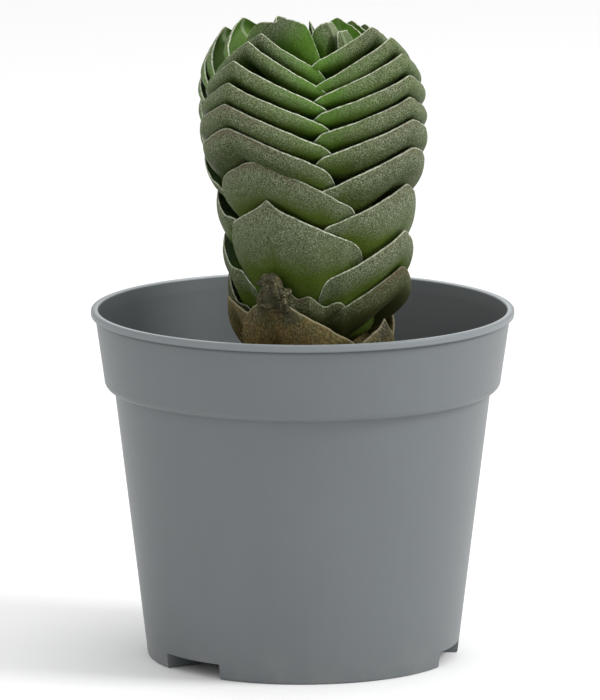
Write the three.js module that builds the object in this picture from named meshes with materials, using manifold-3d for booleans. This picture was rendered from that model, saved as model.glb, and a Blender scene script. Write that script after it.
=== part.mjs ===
// Potted tower crassula: a square column of stacked, upturned leaves in a plain nursery pot.
// Millimetres, +Z up. The origin is the middle of the pot's base, and -Y is the front.
import * as THREE from 'three';
import { mergeVertices } from 'three/addons/utils/BufferGeometryUtils.js';
import Module from 'manifold-3d';

const wasm = await Module();
wasm.setup();

const DEG = Math.PI / 180;
const GAP = 0.3;

// Corners closer than this are one, and a triangle less high than this is flat
const WELD = 0.004;
const FLAT = 0.004;
const FLAT_PASSES = 6;
const NEIGHBOURS = [-1, 0, 1].flatMap((i) => [-1, 0, 1].flatMap((j) => [-1, 0, 1].map((k) => [i, j, k])));

// The pot
const RIM_RADIUS = 52.5;
const POT_HEIGHT = 87.1;
const BASE_RADIUS = 38.6;
const WALL = 1.2;
const LIP_WIDTH = 1.8;
const LIP_HEIGHT = 1.8;
const LIP_ROUNDING = 0.5;
const BAND_TOP_RADIUS = 51.3;
const BAND_BOTTOM_RADIUS = 49.2;
const BAND_BOTTOM_Z = 69.2;
const BAND_ROUNDING = 2.5;
const NECK_HEIGHT = 0.6;
const LIP_UNDERCUT = 0.3;
const BODY_TOP_RADIUS = 46.7;
const FLOOR_HEIGHT = 4.0;
const FLOOR_THICKNESS = 1.6;
const FOOT_WIDTH = 10;
const FOOT_FLAT = 2.2;
const FOOT_EDGE = 0.6;
const FOOT_RISE = 0.7;
const FEET = 3;
const FIRST_NOTCH = -45.6 * DEG;
const NOTCH_ANGLE = 27 * DEG;
const NOTCH_TOP = 3.9;
const ROOF_OVERLAP = 4 * DEG;
const DRAIN_RADIUS = 2.6;
const DRAIN_RING = 33;
const DRAIN_ANGLE = 6.5 * DEG;
const DRAIN_SIDES = 10;
const CUT_MARGIN = 3;
const POT_SIDES = 48;

// The potting mix, with a plain hole for the stem
const SOIL_TOP = 66.5;
const SOIL_EDGE = 1.5;
const SOIL_SIDES = 32;
const STEM_RADIUS = 6.5;
const STEM_BOTTOM = 34;

// The column: two rows of leaf pairs at right angles, on an axis that leans a little
const LEFT_ROW = -39 * DEG;
const RIGHT_ROW = 51 * DEG;
const OLD_LEAF_TWIST = 11 * DEG;
const TWIST_TOP_Z = 134;
const TWIST_BOTTOM_Z = 124;
const AXIS_OFFSET = 1.0;
const AXIS_LEAN = 4.0;
const AXIS_BEND = 0.9;
const AXIS_TOP_Z = 162;
const AXIS_LEAN_HEIGHT = 96;

// Leaf pairs from the youngest down: tip radius, tip height, radius at 45 degrees, drop of the margin there
const RIGHT_PAIRS = [
  [3.5, 159.6, 4.5, 6.0], [9.5, 159.0, 10.5, 7.0], [20.5, 158.9, 19.6, 8.4], [26.6, 157.2, 23.0, 10.6],
  [30.0, 153.7, 25.0, 9.8], [32.2, 148.5, 26.2, 8.6], [32.0, 143.1, 26.5, 8.2], [32.6, 137.5, 26.7, 8.4],
  [30.8, 130.1, 26.0, 8.7], [26.3, 120.2, 23.8, 7.5], [25.5, 108.6, 22.4, 9.0], [24.4, 99.5, 21.4, 8.8],
];
const LEFT_PAIRS = [
  [6.0, 159.8, 6.5, 6.0], [11.7, 160.9, 14.2, 7.5], [17.9, 157.9, 19.6, 9.2], [23.0, 156.5, 23.2, 11.0],
  [28.9, 152.4, 25.4, 10.7], [31.4, 147.3, 26.2, 10.1], [33.1, 142.2, 26.8, 10.5], [32.4, 136.1, 26.7, 10.0],
  [27.3, 127.4, 24.6, 9.5], [25.0, 117.8, 22.8, 9.5], [22.4, 98.8, 21.1, 6.5],
];
const FAR_LEAF_INSET = 0.05;
const FAR_LEAF_DROP = 0.8;
const YOUNG_FAR_LEAF_DROP = 2.2;
const LAST_WALL = 8;
const LEAST_WALL = 5;
const YOUNG_WALL = 9;
const YOUNG_RADIUS = 15;

// Withered leaves at the foot: azimuth, then as above, wall and widest angle
const DRY_LEAVES = [
  [LEFT_ROW + OLD_LEAF_TWIST, 24.4, 96.0, 22.0, 12.5, 12, 66],
  [LEFT_ROW + OLD_LEAF_TWIST + Math.PI, 23.6, 93.0, 21.6, 10.0, 12, 66],
  [RIGHT_ROW + OLD_LEAF_TWIST, 19.6, 86.0, 17.5, 8.0, 8, 34],
  [RIGHT_ROW + OLD_LEAF_TWIST + Math.PI, 22.6, 88.5, 21.2, 7.5, 8, 60],
];
const SHEATH_RADIUS = 13.5;
const SHEATH_BOTTOM = 68.5;
const SHEATH_TOP = 77;
const DRY_CORNER_WALL = 3.5;

// The solid heart that the leaves stand out of: height, radius
const HEART = [
  [STEM_BOTTOM, STEM_RADIUS], [78, 7.0], [82, 13.0], [88, 16.0], [104, 17.5],
  [140, 18.5], [146, 16.5], [149.5, 12.5], [152, 6.5], [153.5, 2.5],
];
const HEART_SIDES = 12;

// A leaf's mesh: angles in degrees from its tip out to its corner, and rows in parts of its depth
const CORNER_ANGLE = 45;
const LEAF_ANGLES = [0, 24, CORNER_ANGLE];
const LEAF_ROWS = [0, 0.3, 0.62, 1];
const LEAF_WIDTH = 54;
const OLD_LEAF_WIDTH = 64;
const MARGIN_THICKNESS = 0.8;
const ROOT_THICKNESS = 1.2;
const ROOT_PART = 0.6;
const DEEPEST_START = 0.8;
const TUCK = 1.7;
const CORNER_TUCK = 0.95;
const BEND = 3.0;
const CORNER_BEND = 1.3;
const CORNER_THINNING = 0.8;
const LEAST_CORNER_WALL = 2.2;
const LAST_CORNER_WALL = 4;
const STEEPEST_IN = -0.62;
const STEEPEST_OUT = 0.3;
const CORNER_IN = -0.3;
const CORNER_OUT = 0.6;
const LOBE_INSET = 0.35;
const OLD_LOBE_INSET = 1.1;
const YOUNG_ROUNDING = 2.0;

const clamp = (x, low, high) => Math.min(high, Math.max(low, x));
const mix = (a, b, t) => a + (b - a) * t;
const smooth = (a, b, x) => {
  const t = clamp((x - a) / (b - a), 0, 1);
  return t * t * (3 - 2 * t);
};
const axisX = (z) => AXIS_OFFSET + AXIS_LEAN * Math.max(0, (AXIS_TOP_Z - z) / AXIS_LEAN_HEIGHT) ** AXIS_BEND;
const twist = (z) => OLD_LEAF_TWIST * (1 - smooth(TWIST_BOTTOM_Z, TWIST_TOP_Z, z));

// A solid from the closed faces of a geometry
function solid(geometry) {
  const bare = geometry.index ? geometry.clone() : geometry;
  bare.deleteAttribute('normal');
  bare.deleteAttribute('uv');
  const welded = mergeVertices(bare, 1e-4);
  return new wasm.Manifold(new wasm.Mesh({
    numProp: 3,
    vertProperties: new Float32Array(welded.attributes.position.array),
    triVerts: new Uint32Array(welded.index.array),
  }));
}

// The corners of a mesh with those closer than WELD made one, and its triangles without the ones this closes
function welded(points, index) {
  const cells = new Map();
  const kept = [];
  const cellOf = (p) => p.toArray().map((x) => Math.floor(x / WELD));
  const renamed = points.map((p) => {
    const [x, y, z] = cellOf(p);
    for (const [i, j, k] of NEIGHBOURS) {
      const found = (cells.get(`${x + i} ${y + j} ${z + k}`) ?? []).find((n) => kept[n].distanceTo(p) < WELD);
      if (found !== undefined) return found;
    }
    const key = `${x} ${y} ${z}`;
    cells.set(key, [...(cells.get(key) ?? []), kept.length]);
    return kept.push(p) - 1;
  });
  const faces = [];
  for (let t = 0; t < index.length; t += 3) {
    const [a, b, c] = [renamed[index[t]], renamed[index[t + 1]], renamed[index[t + 2]]];
    if (a !== b && b !== c && c !== a) faces.push([a, b, c]);
  }
  return [kept, faces];
}

// A triangle's least height, and its corners turned so that its longest edge comes first
function leastHeight(points, [a, b, c]) {
  const sides = [[a, b, c], [b, c, a], [c, a, b]].map((f) => [points[f[0]].distanceTo(points[f[1]]), f]);
  const [length, face] = sides.reduce((x, y) => (y[0] > x[0] ? y : x));
  const [p, q, r] = face.map((i) => points[i]);
  return [q.clone().sub(p).cross(r.clone().sub(p)).length() / length, face];
}

// Flat triangles, whose corners lie on a line, are taken away by turning the edge that they share
function withoutFlats(points, faces) {
  for (let pass = 0; pass < FLAT_PASSES; pass += 1) {
    const owner = new Map();
    const edge = (a, b) => a * points.length + b;
    faces.forEach(([a, b, c], i) => [[a, b], [b, c], [c, a]].forEach(([p, q]) => owner.set(edge(p, q), i)));
    const done = new Set();
    faces.forEach((triangle, i) => {
      const [height, [a, c, b]] = leastHeight(points, triangle);
      const other = owner.get(edge(c, a));
      if (height > FLAT || done.has(i) || done.has(other)) return;
      const d = faces[other].find((corner) => corner !== a && corner !== c);
      if (owner.has(edge(b, d)) || owner.has(edge(d, b))) return;
      const turned = [[a, d, b], [d, c, b]];
      const least = Math.min(...turned.map((face) => leastHeight(points, face)[0]));
      if (least <= Math.min(height, leastHeight(points, faces[other])[0])) return;
      [faces[i], faces[other]] = turned;
      [i, other].forEach((n) => done.add(n));
    });
  }
  return faces;
}

// The largest closed skin of a joined solid, which leaves sealed hollows filled
function outerSkin(shape) {
  const mesh = shape.getMesh();
  const parent = Array.from({ length: mesh.vertProperties.length / 3 }, (_, i) => i);
  const find = (i) => {
    let root = i;
    while (parent[root] !== root) {
      parent[root] = parent[parent[root]];
      root = parent[root];
    }
    return root;
  };
  for (let t = 0; t < mesh.triVerts.length; t += 3) {
    parent[find(mesh.triVerts[t])] = find(mesh.triVerts[t + 1]);
    parent[find(mesh.triVerts[t + 1])] = find(mesh.triVerts[t + 2]);
  }
  const count = new Map();
  for (let t = 0; t < mesh.triVerts.length; t += 3) {
    const root = find(mesh.triVerts[t]);
    count.set(root, (count.get(root) ?? 0) + 1);
  }
  const [largest] = [...count.entries()].reduce((a, b) => (b[1] > a[1] ? b : a));
  const index = [];
  for (let t = 0; t < mesh.triVerts.length; t += 3) {
    if (find(mesh.triVerts[t]) === largest) index.push(...mesh.triVerts.slice(t, t + 3));
  }
  const corners = parent.map((_, i) => new THREE.Vector3().fromArray(mesh.vertProperties, i * 3));
  const [points, faces] = welded(corners, index);
  const geometry = new THREE.BufferGeometry();
  const coordinates = withoutFlats(points, faces).flat().flatMap((i) => points[i].toArray());
  geometry.setAttribute('position', new THREE.Float32BufferAttribute(coordinates, 3));
  geometry.computeVertexNormals();
  return geometry;
}

// A closed shell between two grids of points of one size, the outer face first
function shell(outer, inner) {
  const columns = outer.length;
  const rows = outer[0].length;
  const at = (layer, i, k) => (layer * columns + i) * rows + k;
  const index = [];
  const quad = (a, b, c, d) => index.push(a, b, c, a, c, d);
  for (let i = 0; i + 1 < columns; i += 1) {
    for (let k = 0; k + 1 < rows; k += 1) {
      quad(at(0, i, k), at(0, i, k + 1), at(0, i + 1, k + 1), at(0, i + 1, k));
      quad(at(1, i, k), at(1, i + 1, k), at(1, i + 1, k + 1), at(1, i, k + 1));
    }
    quad(at(0, i, 0), at(0, i + 1, 0), at(1, i + 1, 0), at(1, i, 0));
    quad(at(0, i, rows - 1), at(1, i, rows - 1), at(1, i + 1, rows - 1), at(0, i + 1, rows - 1));
  }
  for (let k = 0; k + 1 < rows; k += 1) {
    quad(at(0, 0, k), at(1, 0, k), at(1, 0, k + 1), at(0, 0, k + 1));
    quad(at(0, columns - 1, k), at(0, columns - 1, k + 1), at(1, columns - 1, k + 1), at(1, columns - 1, k));
  }
  const geometry = new THREE.BufferGeometry();
  const points = [outer, inner].flat(2).flatMap((p) => [p.x, p.y, p.z]);
  geometry.setAttribute('position', new THREE.Float32BufferAttribute(points, 3));
  geometry.setIndex(index);
  return geometry;
}

// A solid of rings stacked along the leaning axis
function stackedRings(rings, sides) {
  const outline = rings.map(([z, radius]) => Array.from({ length: sides }, (_, i) => {
    const angle = (i / sides) * 2 * Math.PI;
    return new THREE.Vector3(axisX(z) + radius * Math.sin(angle), -radius * Math.cos(angle), z);
  }));
  const points = outline.flat();
  const bottom = points.push(new THREE.Vector3(axisX(rings[0][0]), 0, rings[0][0])) - 1;
  const last = rings.at(-1)[0];
  const top = points.push(new THREE.Vector3(axisX(last), 0, last)) - 1;
  const index = [];
  for (let i = 0; i < sides; i += 1) {
    const j = (i + 1) % sides;
    for (let k = 0; k + 1 < rings.length; k += 1) {
      const [a, b, c, d] = [k * sides + i, k * sides + j, (k + 1) * sides + j, (k + 1) * sides + i];
      index.push(a, b, c, a, c, d);
    }
    index.push(bottom, j, i, top, (rings.length - 1) * sides + i, (rings.length - 1) * sides + j);
  }
  const geometry = new THREE.BufferGeometry();
  const coordinates = points.flatMap((p) => [p.x, p.y, p.z]);
  geometry.setAttribute('position', new THREE.Float32BufferAttribute(coordinates, 3));
  geometry.setIndex(index);
  return geometry;
}

// Every pair of green leaves from the top, with what it takes from its neighbours
function leafPairs() {
  const pairs = [];
  const steepness = (rise, run, low, high) => clamp(rise / Math.max(run, 1), low, high);
  const addRow = (rows, azimuth, first) => rows.forEach(([tip, z, corner, drop], i) => {
    const next = rows[i + 1];
    const step = next ? z - next[1] : LAST_WALL;
    const cornerStep = next ? z - drop - (next[1] - next[3]) : LAST_WALL;
    pairs.push({
      order: first + 2 * i,
      azimuth: azimuth + twist(z),
      tip, z, corner, drop,
      wall: tip < YOUNG_RADIUS ? YOUNG_WALL : Math.max(LEAST_WALL, step),
      slope: next ? steepness(next[0] - tip, step, STEEPEST_IN, STEEPEST_OUT) : 0,
      cornerSlope: next ? steepness(next[2] - corner, cornerStep, CORNER_IN, CORNER_OUT) : 0,
      width: mix(OLD_LEAF_WIDTH, LEAF_WIDTH, smooth(TWIST_BOTTOM_Z, TWIST_TOP_Z, z)),
      inset: mix(OLD_LOBE_INSET, LOBE_INSET, smooth(TWIST_BOTTOM_Z, TWIST_TOP_Z, z)),
      round: tip < YOUNG_RADIUS ? YOUNG_ROUNDING : 1,
      farDrop: tip < YOUNG_RADIUS ? YOUNG_FAR_LEAF_DROP : FAR_LEAF_DROP,
    });
  });
  addRow(RIGHT_PAIRS, RIGHT_ROW, 0);
  addRow(LEFT_PAIRS, LEFT_ROW, 1);
  pairs.sort((a, b) => a.order - b.order);
  pairs.forEach((pair, i) => {
    const above = pairs[i - 1] ?? pair;
    const below = pairs[i + 1] ?? above;
    const cornerStep = pair.z - pair.drop - (below.z - below.drop);
    pair.cornerWall = below !== above ? Math.max(LEAST_CORNER_WALL, cornerStep) : LAST_CORNER_WALL;
    pair.side = {
      tip: (above.tip + below.tip) / 2,
      drop: (above.drop + below.drop) / 2,
      wall: (above.wall + below.wall) / 2,
      slope: (above.slope + below.slope) / 2,
    };
  });
  return pairs;
}

// One leaf: an upturned shell, whose outer face is a parabola that tucks in under its margin. Past the corner
// its lobe follows the bowls of the other row, between the leaf above and the leaf below
function leaf(pair, azimuth) {
  const outer = [];
  const inner = [];
  const half = [...LEAF_ANGLES.filter((a) => a < pair.width), pair.width];
  const angles = [...half.slice(1).reverse().map((a) => -a), ...half];
  for (const s of angles) {
    const a = Math.abs(s);
    const past = Math.max(0, a - CORNER_ANGLE) / CORNER_ANGLE;
    const own = a > CORNER_ANGLE ? pair.side : pair;
    const part = a > CORNER_ANGLE ? 1 - past : a / CORNER_ANGLE;
    const near = smooth(0.5, 1, part);
    const pitch = mix(own.wall, pair.cornerWall, near);
    const tuck = mix(TUCK, CORNER_TUCK, near);
    const bend = mix(BEND, CORNER_BEND, near);
    const margin = mix(own.tip, pair.corner, part) - pair.inset * smooth(0, 0.15, past);
    const marginZ = pair.z - pair.drop + own.drop * (1 - part ** (past > 0 ? 1 : pair.round));
    const square = (tuck * bend) / pitch ** 2;
    const linear = (tuck * (bend - 1)) / pitch + mix(own.slope, pair.cornerSlope, part);
    const root = ROOT_PART * pair.corner;
    const depth = (linear + Math.sqrt(linear ** 2 + 4 * square * (margin - root))) / (2 * square);
    const start = Math.min(DEEPEST_START * depth, (own.drop + pair.drop) * past);
    const outerColumn = [];
    const innerColumn = [];
    for (const row of LEAF_ROWS) {
      const d = mix(start, depth, row);
      const radius = margin + linear * d - square * d * d;
      const lean = linear - 2 * square * d;
      const length = Math.hypot(1, lean);
      const thickness = mix(MARGIN_THICKNESS, ROOT_THICKNESS, row) * mix(1, CORNER_THINNING, near);
      const z = marginZ - d;
      const put = (r, height) => new THREE.Vector3(
        axisX(height) + r * Math.sin(azimuth + s * DEG),
        -r * Math.cos(azimuth + s * DEG),
        height,
      );
      outerColumn.push(put(radius, z));
      innerColumn.push(put(radius - thickness / length, z - (thickness * lean) / length));
    }
    outer.push(outerColumn);
    inner.push(innerColumn);
  }
  return shell(outer, inner);
}

function leafyColumn() {
  let column = solid(stackedRings(HEART, HEART_SIDES));
  for (const pair of leafPairs()) {
    column = column.add(solid(leaf(pair, pair.azimuth)));
    const far = { ...pair, tip: pair.tip * (1 - FAR_LEAF_INSET), z: pair.z - pair.farDrop };
    column = column.add(solid(leaf(far, pair.azimuth + Math.PI)));
  }
  return outerSkin(column);
}

function dryLeaves() {
  const ring = stackedRings([[SHEATH_BOTTOM, SHEATH_RADIUS], [SHEATH_TOP, SHEATH_RADIUS]], HEART_SIDES * 2);
  let dry = solid(ring);
  for (const [azimuth, tip, z, corner, drop, wall, width] of DRY_LEAVES) {
    const side = { tip, drop, wall, slope: 0 };
    const plain = { slope: 0, cornerSlope: 0, cornerWall: DRY_CORNER_WALL, inset: 0, round: 1 };
    const pair = { tip, z, corner, drop, wall, width, side, ...plain };
    dry = dry.add(solid(leaf(pair, azimuth)));
  }
  const bore = HEART.slice(0, 2).map(([z, radius]) => [z, radius + GAP]);
  return outerSkin(dry.subtract(solid(stackedRings(bore, HEART_SIDES))));
}

// The body's outer radius, which tapers straight from the foot to the band
const BODY_TOP_Z = BAND_BOTTOM_Z - BAND_ROUNDING;
const bodyRadius = (z) => mix(BASE_RADIUS, BODY_TOP_RADIUS, z / BODY_TOP_Z);

// An arc of a profile, with its angles in degrees
function arc(x, z, radius, from, to, steps) {
  return Array.from({ length: steps + 1 }, (_, i) => {
    const angle = mix(from, to, i / steps) * DEG;
    return [x + radius * Math.cos(angle), z + radius * Math.sin(angle)];
  });
}

// A block over a part of a ring, centred on the front
function ringBlock(innerRadius, outerRadius, angle, bottom, top) {
  const shape = new THREE.Shape();
  shape.absarc(0, 0, outerRadius, -Math.PI / 2 - angle / 2, -Math.PI / 2 + angle / 2, false);
  shape.absarc(0, 0, innerRadius, -Math.PI / 2 + angle / 2, -Math.PI / 2 - angle / 2, true);
  const depth = top - bottom;
  const block = new THREE.ExtrudeGeometry(shape, { depth, bevelEnabled: false, curveSegments: 4 });
  return block.translate(0, 0, bottom);
}

function pot() {
  const floorTop = FLOOR_HEIGHT + FLOOR_THICKNESS;
  const lipBottom = POT_HEIGHT - LIP_HEIGHT;
  const footInner = BASE_RADIUS - FOOT_WIDTH;
  const lipCentre = RIM_RADIUS - LIP_ROUNDING;
  const lipInner = RIM_RADIUS - LIP_WIDTH + LIP_ROUNDING;
  const profile = [
    [0, FLOOR_HEIGHT], [footInner, FLOOR_HEIGHT], [footInner, FOOT_RISE],
    [BASE_RADIUS - FOOT_EDGE - FOOT_FLAT, 0], [BASE_RADIUS - FOOT_EDGE, 0],
    [bodyRadius(FOOT_EDGE), FOOT_EDGE], [BODY_TOP_RADIUS, BODY_TOP_Z],
    ...arc(BAND_BOTTOM_RADIUS - BAND_ROUNDING, BAND_BOTTOM_Z, BAND_ROUNDING, -75, 0, 3),
    [BAND_TOP_RADIUS, lipBottom - NECK_HEIGHT], [BAND_TOP_RADIUS + LIP_UNDERCUT, lipBottom],
    ...arc(lipCentre, lipBottom + LIP_ROUNDING, LIP_ROUNDING, -45, 0, 1),
    ...arc(lipCentre, POT_HEIGHT - LIP_ROUNDING, LIP_ROUNDING, 0, 90, 2),
    ...arc(lipInner, POT_HEIGHT - LIP_ROUNDING, LIP_ROUNDING, 90, 180, 2),
    [BAND_TOP_RADIUS - WALL, lipBottom - NECK_HEIGHT],
    [BAND_BOTTOM_RADIUS - WALL, BAND_BOTTOM_Z + WALL / 2],
    [BODY_TOP_RADIUS - WALL, BODY_TOP_Z], [bodyRadius(FLOOR_THICKNESS) - WALL, FLOOR_THICKNESS],
    [footInner + WALL, FLOOR_THICKNESS + FOOT_RISE], [footInner + WALL, floorTop], [0, floorTop],
  ].map(([x, y]) => new THREE.Vector2(x, y));
  const lathe = new THREE.LatheGeometry(profile, POT_SIDES);
  lathe.rotateX(Math.PI / 2);
  let body = solid(lathe);
  for (let i = 0; i < FEET; i += 1) {
    const turn = FIRST_NOTCH + (i * 2 * Math.PI) / FEET;
    const [from, to] = [footInner - CUT_MARGIN, BASE_RADIUS + CUT_MARGIN];
    const cut = ringBlock(from, to, NOTCH_ANGLE, -CUT_MARGIN, NOTCH_TOP);
    const roofTop = NOTCH_TOP + FLOOR_THICKNESS;
    const roof = ringBlock(footInner, BASE_RADIUS - WALL / 3, NOTCH_ANGLE + ROOF_OVERLAP, NOTCH_TOP, roofTop);
    body = body.subtract(solid(cut.rotateZ(turn))).add(solid(roof.rotateZ(turn)));
    for (const side of [-1, 1]) {
      const hole = new THREE.CylinderGeometry(DRAIN_RADIUS, DRAIN_RADIUS, CUT_MARGIN, DRAIN_SIDES);
      hole.rotateX(Math.PI / 2).translate(0, -DRAIN_RING, NOTCH_TOP + FLOOR_THICKNESS / 2);
      body = body.subtract(solid(hole.rotateZ(turn + side * DRAIN_ANGLE)));
    }
  }
  return outerSkin(body);
}

function pottingMix() {
  const radiusAt = (z) => (bodyRadius(z) - WALL - GAP) * Math.cos(Math.PI / POT_SIDES);
  const bottom = FLOOR_HEIGHT + FLOOR_THICKNESS + GAP;
  const profile = [
    [0, bottom], [radiusAt(bottom), bottom], [radiusAt(SOIL_TOP - SOIL_EDGE), SOIL_TOP - SOIL_EDGE],
    [radiusAt(SOIL_TOP) - SOIL_EDGE, SOIL_TOP], [0, SOIL_TOP],
  ].map(([x, y]) => new THREE.Vector2(x, y));
  const lathe = new THREE.LatheGeometry(profile, SOIL_SIDES);
  lathe.rotateX(Math.PI / 2);
  const holeRadius = (STEM_RADIUS + GAP) / Math.cos(Math.PI / HEART_SIDES);
  const bore = [[STEM_BOTTOM - GAP, holeRadius], [SOIL_TOP + GAP, holeRadius + GAP]];
  const hole = stackedRings(bore, HEART_SIDES);
  return outerSkin(solid(lathe).subtract(solid(hole)));
}

function piece(name, geometry, color, roughness) {
  const mesh = new THREE.Mesh(geometry, new THREE.MeshStandardMaterial({ color, roughness, metalness: 0 }));
  mesh.name = name;
  return mesh;
}

const plant = new THREE.Group();
plant.add(piece('pot', pot(), 0x747d80, 0.42));
plant.add(piece('potting_mix', pottingMix(), 0x3a2c22, 0.95));
plant.add(piece('leafy_column', leafyColumn(), 0x4f6b3a, 0.6));
plant.add(piece('dry_leaves', dryLeaves(), 0x6b5a34, 0.8));

export default plant;
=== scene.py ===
"""A square column of stacked, upturned succulent leaves in a plain grey nursery pot. Every piece is made
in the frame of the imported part. Shapes are worked out in millimetres and kept in metres."""
import math

import bmesh
import bpy
import numpy as np
from bpy.props import FloatProperty, FloatVectorProperty, IntProperty, PointerProperty
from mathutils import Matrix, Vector


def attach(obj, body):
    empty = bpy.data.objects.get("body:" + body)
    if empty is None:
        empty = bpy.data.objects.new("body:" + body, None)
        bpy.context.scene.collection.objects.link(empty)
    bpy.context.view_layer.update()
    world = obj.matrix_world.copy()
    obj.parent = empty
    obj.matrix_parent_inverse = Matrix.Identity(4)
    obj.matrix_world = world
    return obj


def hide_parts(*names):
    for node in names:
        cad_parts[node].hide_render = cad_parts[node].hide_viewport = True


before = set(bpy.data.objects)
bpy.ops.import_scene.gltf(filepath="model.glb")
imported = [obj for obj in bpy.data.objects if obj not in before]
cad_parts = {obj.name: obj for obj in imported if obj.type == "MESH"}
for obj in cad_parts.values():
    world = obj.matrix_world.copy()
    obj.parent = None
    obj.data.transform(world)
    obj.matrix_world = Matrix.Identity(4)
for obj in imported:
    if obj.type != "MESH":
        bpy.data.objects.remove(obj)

bl_info = {
    "name": "Potted Tower Crassula",
    "version": (1, 0, 0),
    "blender": (4, 5, 0),
    "location": "3D View > Sidebar > Crassula",
    "description": "Makes a square column of stacked leaves in a nursery pot",
    "category": "Object",
}

MM = 0.001
DEG = math.pi / 180
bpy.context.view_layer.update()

# The pot's form
RIM_RADIUS, POT_HEIGHT, BASE_RADIUS, WALL = 52.5, 87.1, 38.6, 1.2
LIP_WIDTH, LIP_HEIGHT, LIP_ROUNDING = 1.8, 1.8, 0.5
BAND_TOP_RADIUS, BAND_BOTTOM_RADIUS, BAND_BOTTOM_Z, BAND_ROUNDING = 51.3, 49.2, 69.5, 2.3
NECK_HEIGHT, BODY_TOP_RADIUS, BODY_TOP_Z = 0.6, 46.7, BAND_BOTTOM_Z - BAND_ROUNDING
FLOOR_HEIGHT, FLOOR_THICKNESS, FOOT_WIDTH, FOOT_FLAT, FOOT_EDGE, FOOT_RISE = 4.0, 1.6, 10.0, 2.2, 0.6, 0.7
FLOOR_ROUNDING, FOOT_INNER_ROUNDING, FLOOR_DISC = 0.5, 0.4, 4
FEET, FIRST_NOTCH, NOTCH_ANGLE, NOTCH_TOP, NOTCH_DRAFT, ROOF_OVERLAP = 3, -45.6, 27.0, 3.9, 0.4, 4.0
DRAIN_RADIUS, DRAIN_RING, DRAIN_ANGLE, DRAIN_SIDES, DRAIN_CUT = 2.6, 33.0, 6.5, 28, 4.0
POT_SIDES, CRISP_ANGLE, MERGE_DISTANCE = 288, 32, 1e-6

# The potting mix and the stem in it. Its top has heaps a millimetre deep and smaller clods, dips by the
# wall, and lies a little lower than SOIL_TOP on the mean.
SOIL_TOP, SOIL_EDGE, STEM_RADIUS, STEM_BOTTOM, GAP = 66.5, 1.5, 6.5, 34.0, 0.3
MIX_RINGS, MIX_SIDES, MIX_TAPER_Z = 64, 220, 40.0
HEAP_PITCH, CLOD_PITCH, CLOD_HEIGHT, WALL_DIP, MEAN_DROP = 13, 3.1, 0.45, 0.9, 0.2
# The ring that loose crumbs lie in, and a crumb's unevenness, roundness, and range of length and width
CRUMB_RING_INNER, CRUMB_RING_OUTER, CRUMB_UNEVENNESS, CRUMB_ROUNDNESS = 10.5, 43.2, 0.22, 0.75
CRUMB_LENGTH, CRUMB_WIDTH = (0.7, 1.3), (0.6, 1.0)
# Bark and pale grains: least and greatest size, the centre's height above the mix in sizes, and flatness
BARK_SIZES, BARK_FLATNESS = (0.45, 2.0, 0.1), (0.35, 0.8)
GRAIN_SIZES, GRAIN_FLATNESS = (0.5, 1.5, 0.15), (0.6, 1.0)
# Seeds of the random draws
STREWN_SEED, BARK_SEED, GRAIN_SEED, HEAP_SEED, HEART_SEED = 11, 21, 22, 3, 9
HAIR_SEED, SWELL_SEED, DRY_SEED, TIP_SEED, SHEATH_SEED = 31, 5, 90, 70, 41

# The column of leaves: azimuths are in degrees from the front, towards the right of the photograph
LEFT_ROW, RIGHT_ROW, OLD_LEAF_TWIST = -39.0, 51.0, 11.0
TWIST_TOP_Z, TWIST_BOTTOM_Z = 134.0, 124.0
AXIS_OFFSET, AXIS_LEAN, AXIS_BEND, AXIS_TOP_Z, AXIS_LEAN_HEIGHT = 0.8, 4.0, 0.9, 162.0, 96.0
HEART = [(34, 6.5), (78, 7.0), (82, 13.0), (88, 16.0), (104, 17.5),
         (140, 18.5), (146, 16.5), (149.5, 12.5), (152, 6.5), (153.5, 2.5)]
HEART_SIDES, HEART_RINGS, HEART_INSET, HEART_UNEVENNESS = 72, 90, 0.4, 0.03
HEART_OLD_Z, HEART_FRESH_Z = 138, 147

# Leaf pairs from the youngest down: tip radius, tip height, radius at 45 degrees, drop of the margin there,
# bluntness of the tip, how far the tip juts out of the margin, share of brown on the margin, and how many
# degrees the lobe on the left reaches. A brown of 1 is a leaf that starts to wither.
RIGHT_PAIRS = [
    (6.9, 159.3, 6.6, 3.5, 0.05, 0.0, 0.1, 54), (10.6, 157.4, 10.0, 3.5, 0.04, 0.0, 0.1, 20),
    (20.5, 159.4, 19.6, 7.6, 0.06, 0.2, 0.3, 54), (26.5, 157.4, 23.0, 10.6, 0.04, 0.4, 0.3, 54),
    (29.8, 153.7, 25.0, 9.8, 0.03, 0.5, 0.2, 54), (31.8, 148.5, 26.0, 8.6, 0.03, 0.5, 0.3, 54),
    (31.6, 143.1, 26.2, 8.2, 0.03, 0.5, 0.4, 54), (32.2, 137.5, 26.4, 8.4, 0.07, 0.4, 0.5, 54),
    (30.4, 130.1, 25.7, 8.7, 0.10, 0.2, 0.5, 58), (25.9, 120.2, 23.5, 7.5, 0.08, 0.3, 0.6, 64),
    (25.0, 108.6, 22.2, 9.0, 0.05, 0.4, 0.5, 64), (23.8, 99.5, 21.0, 8.8, 0.12, 0.2, 1.0, 64),
]
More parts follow.
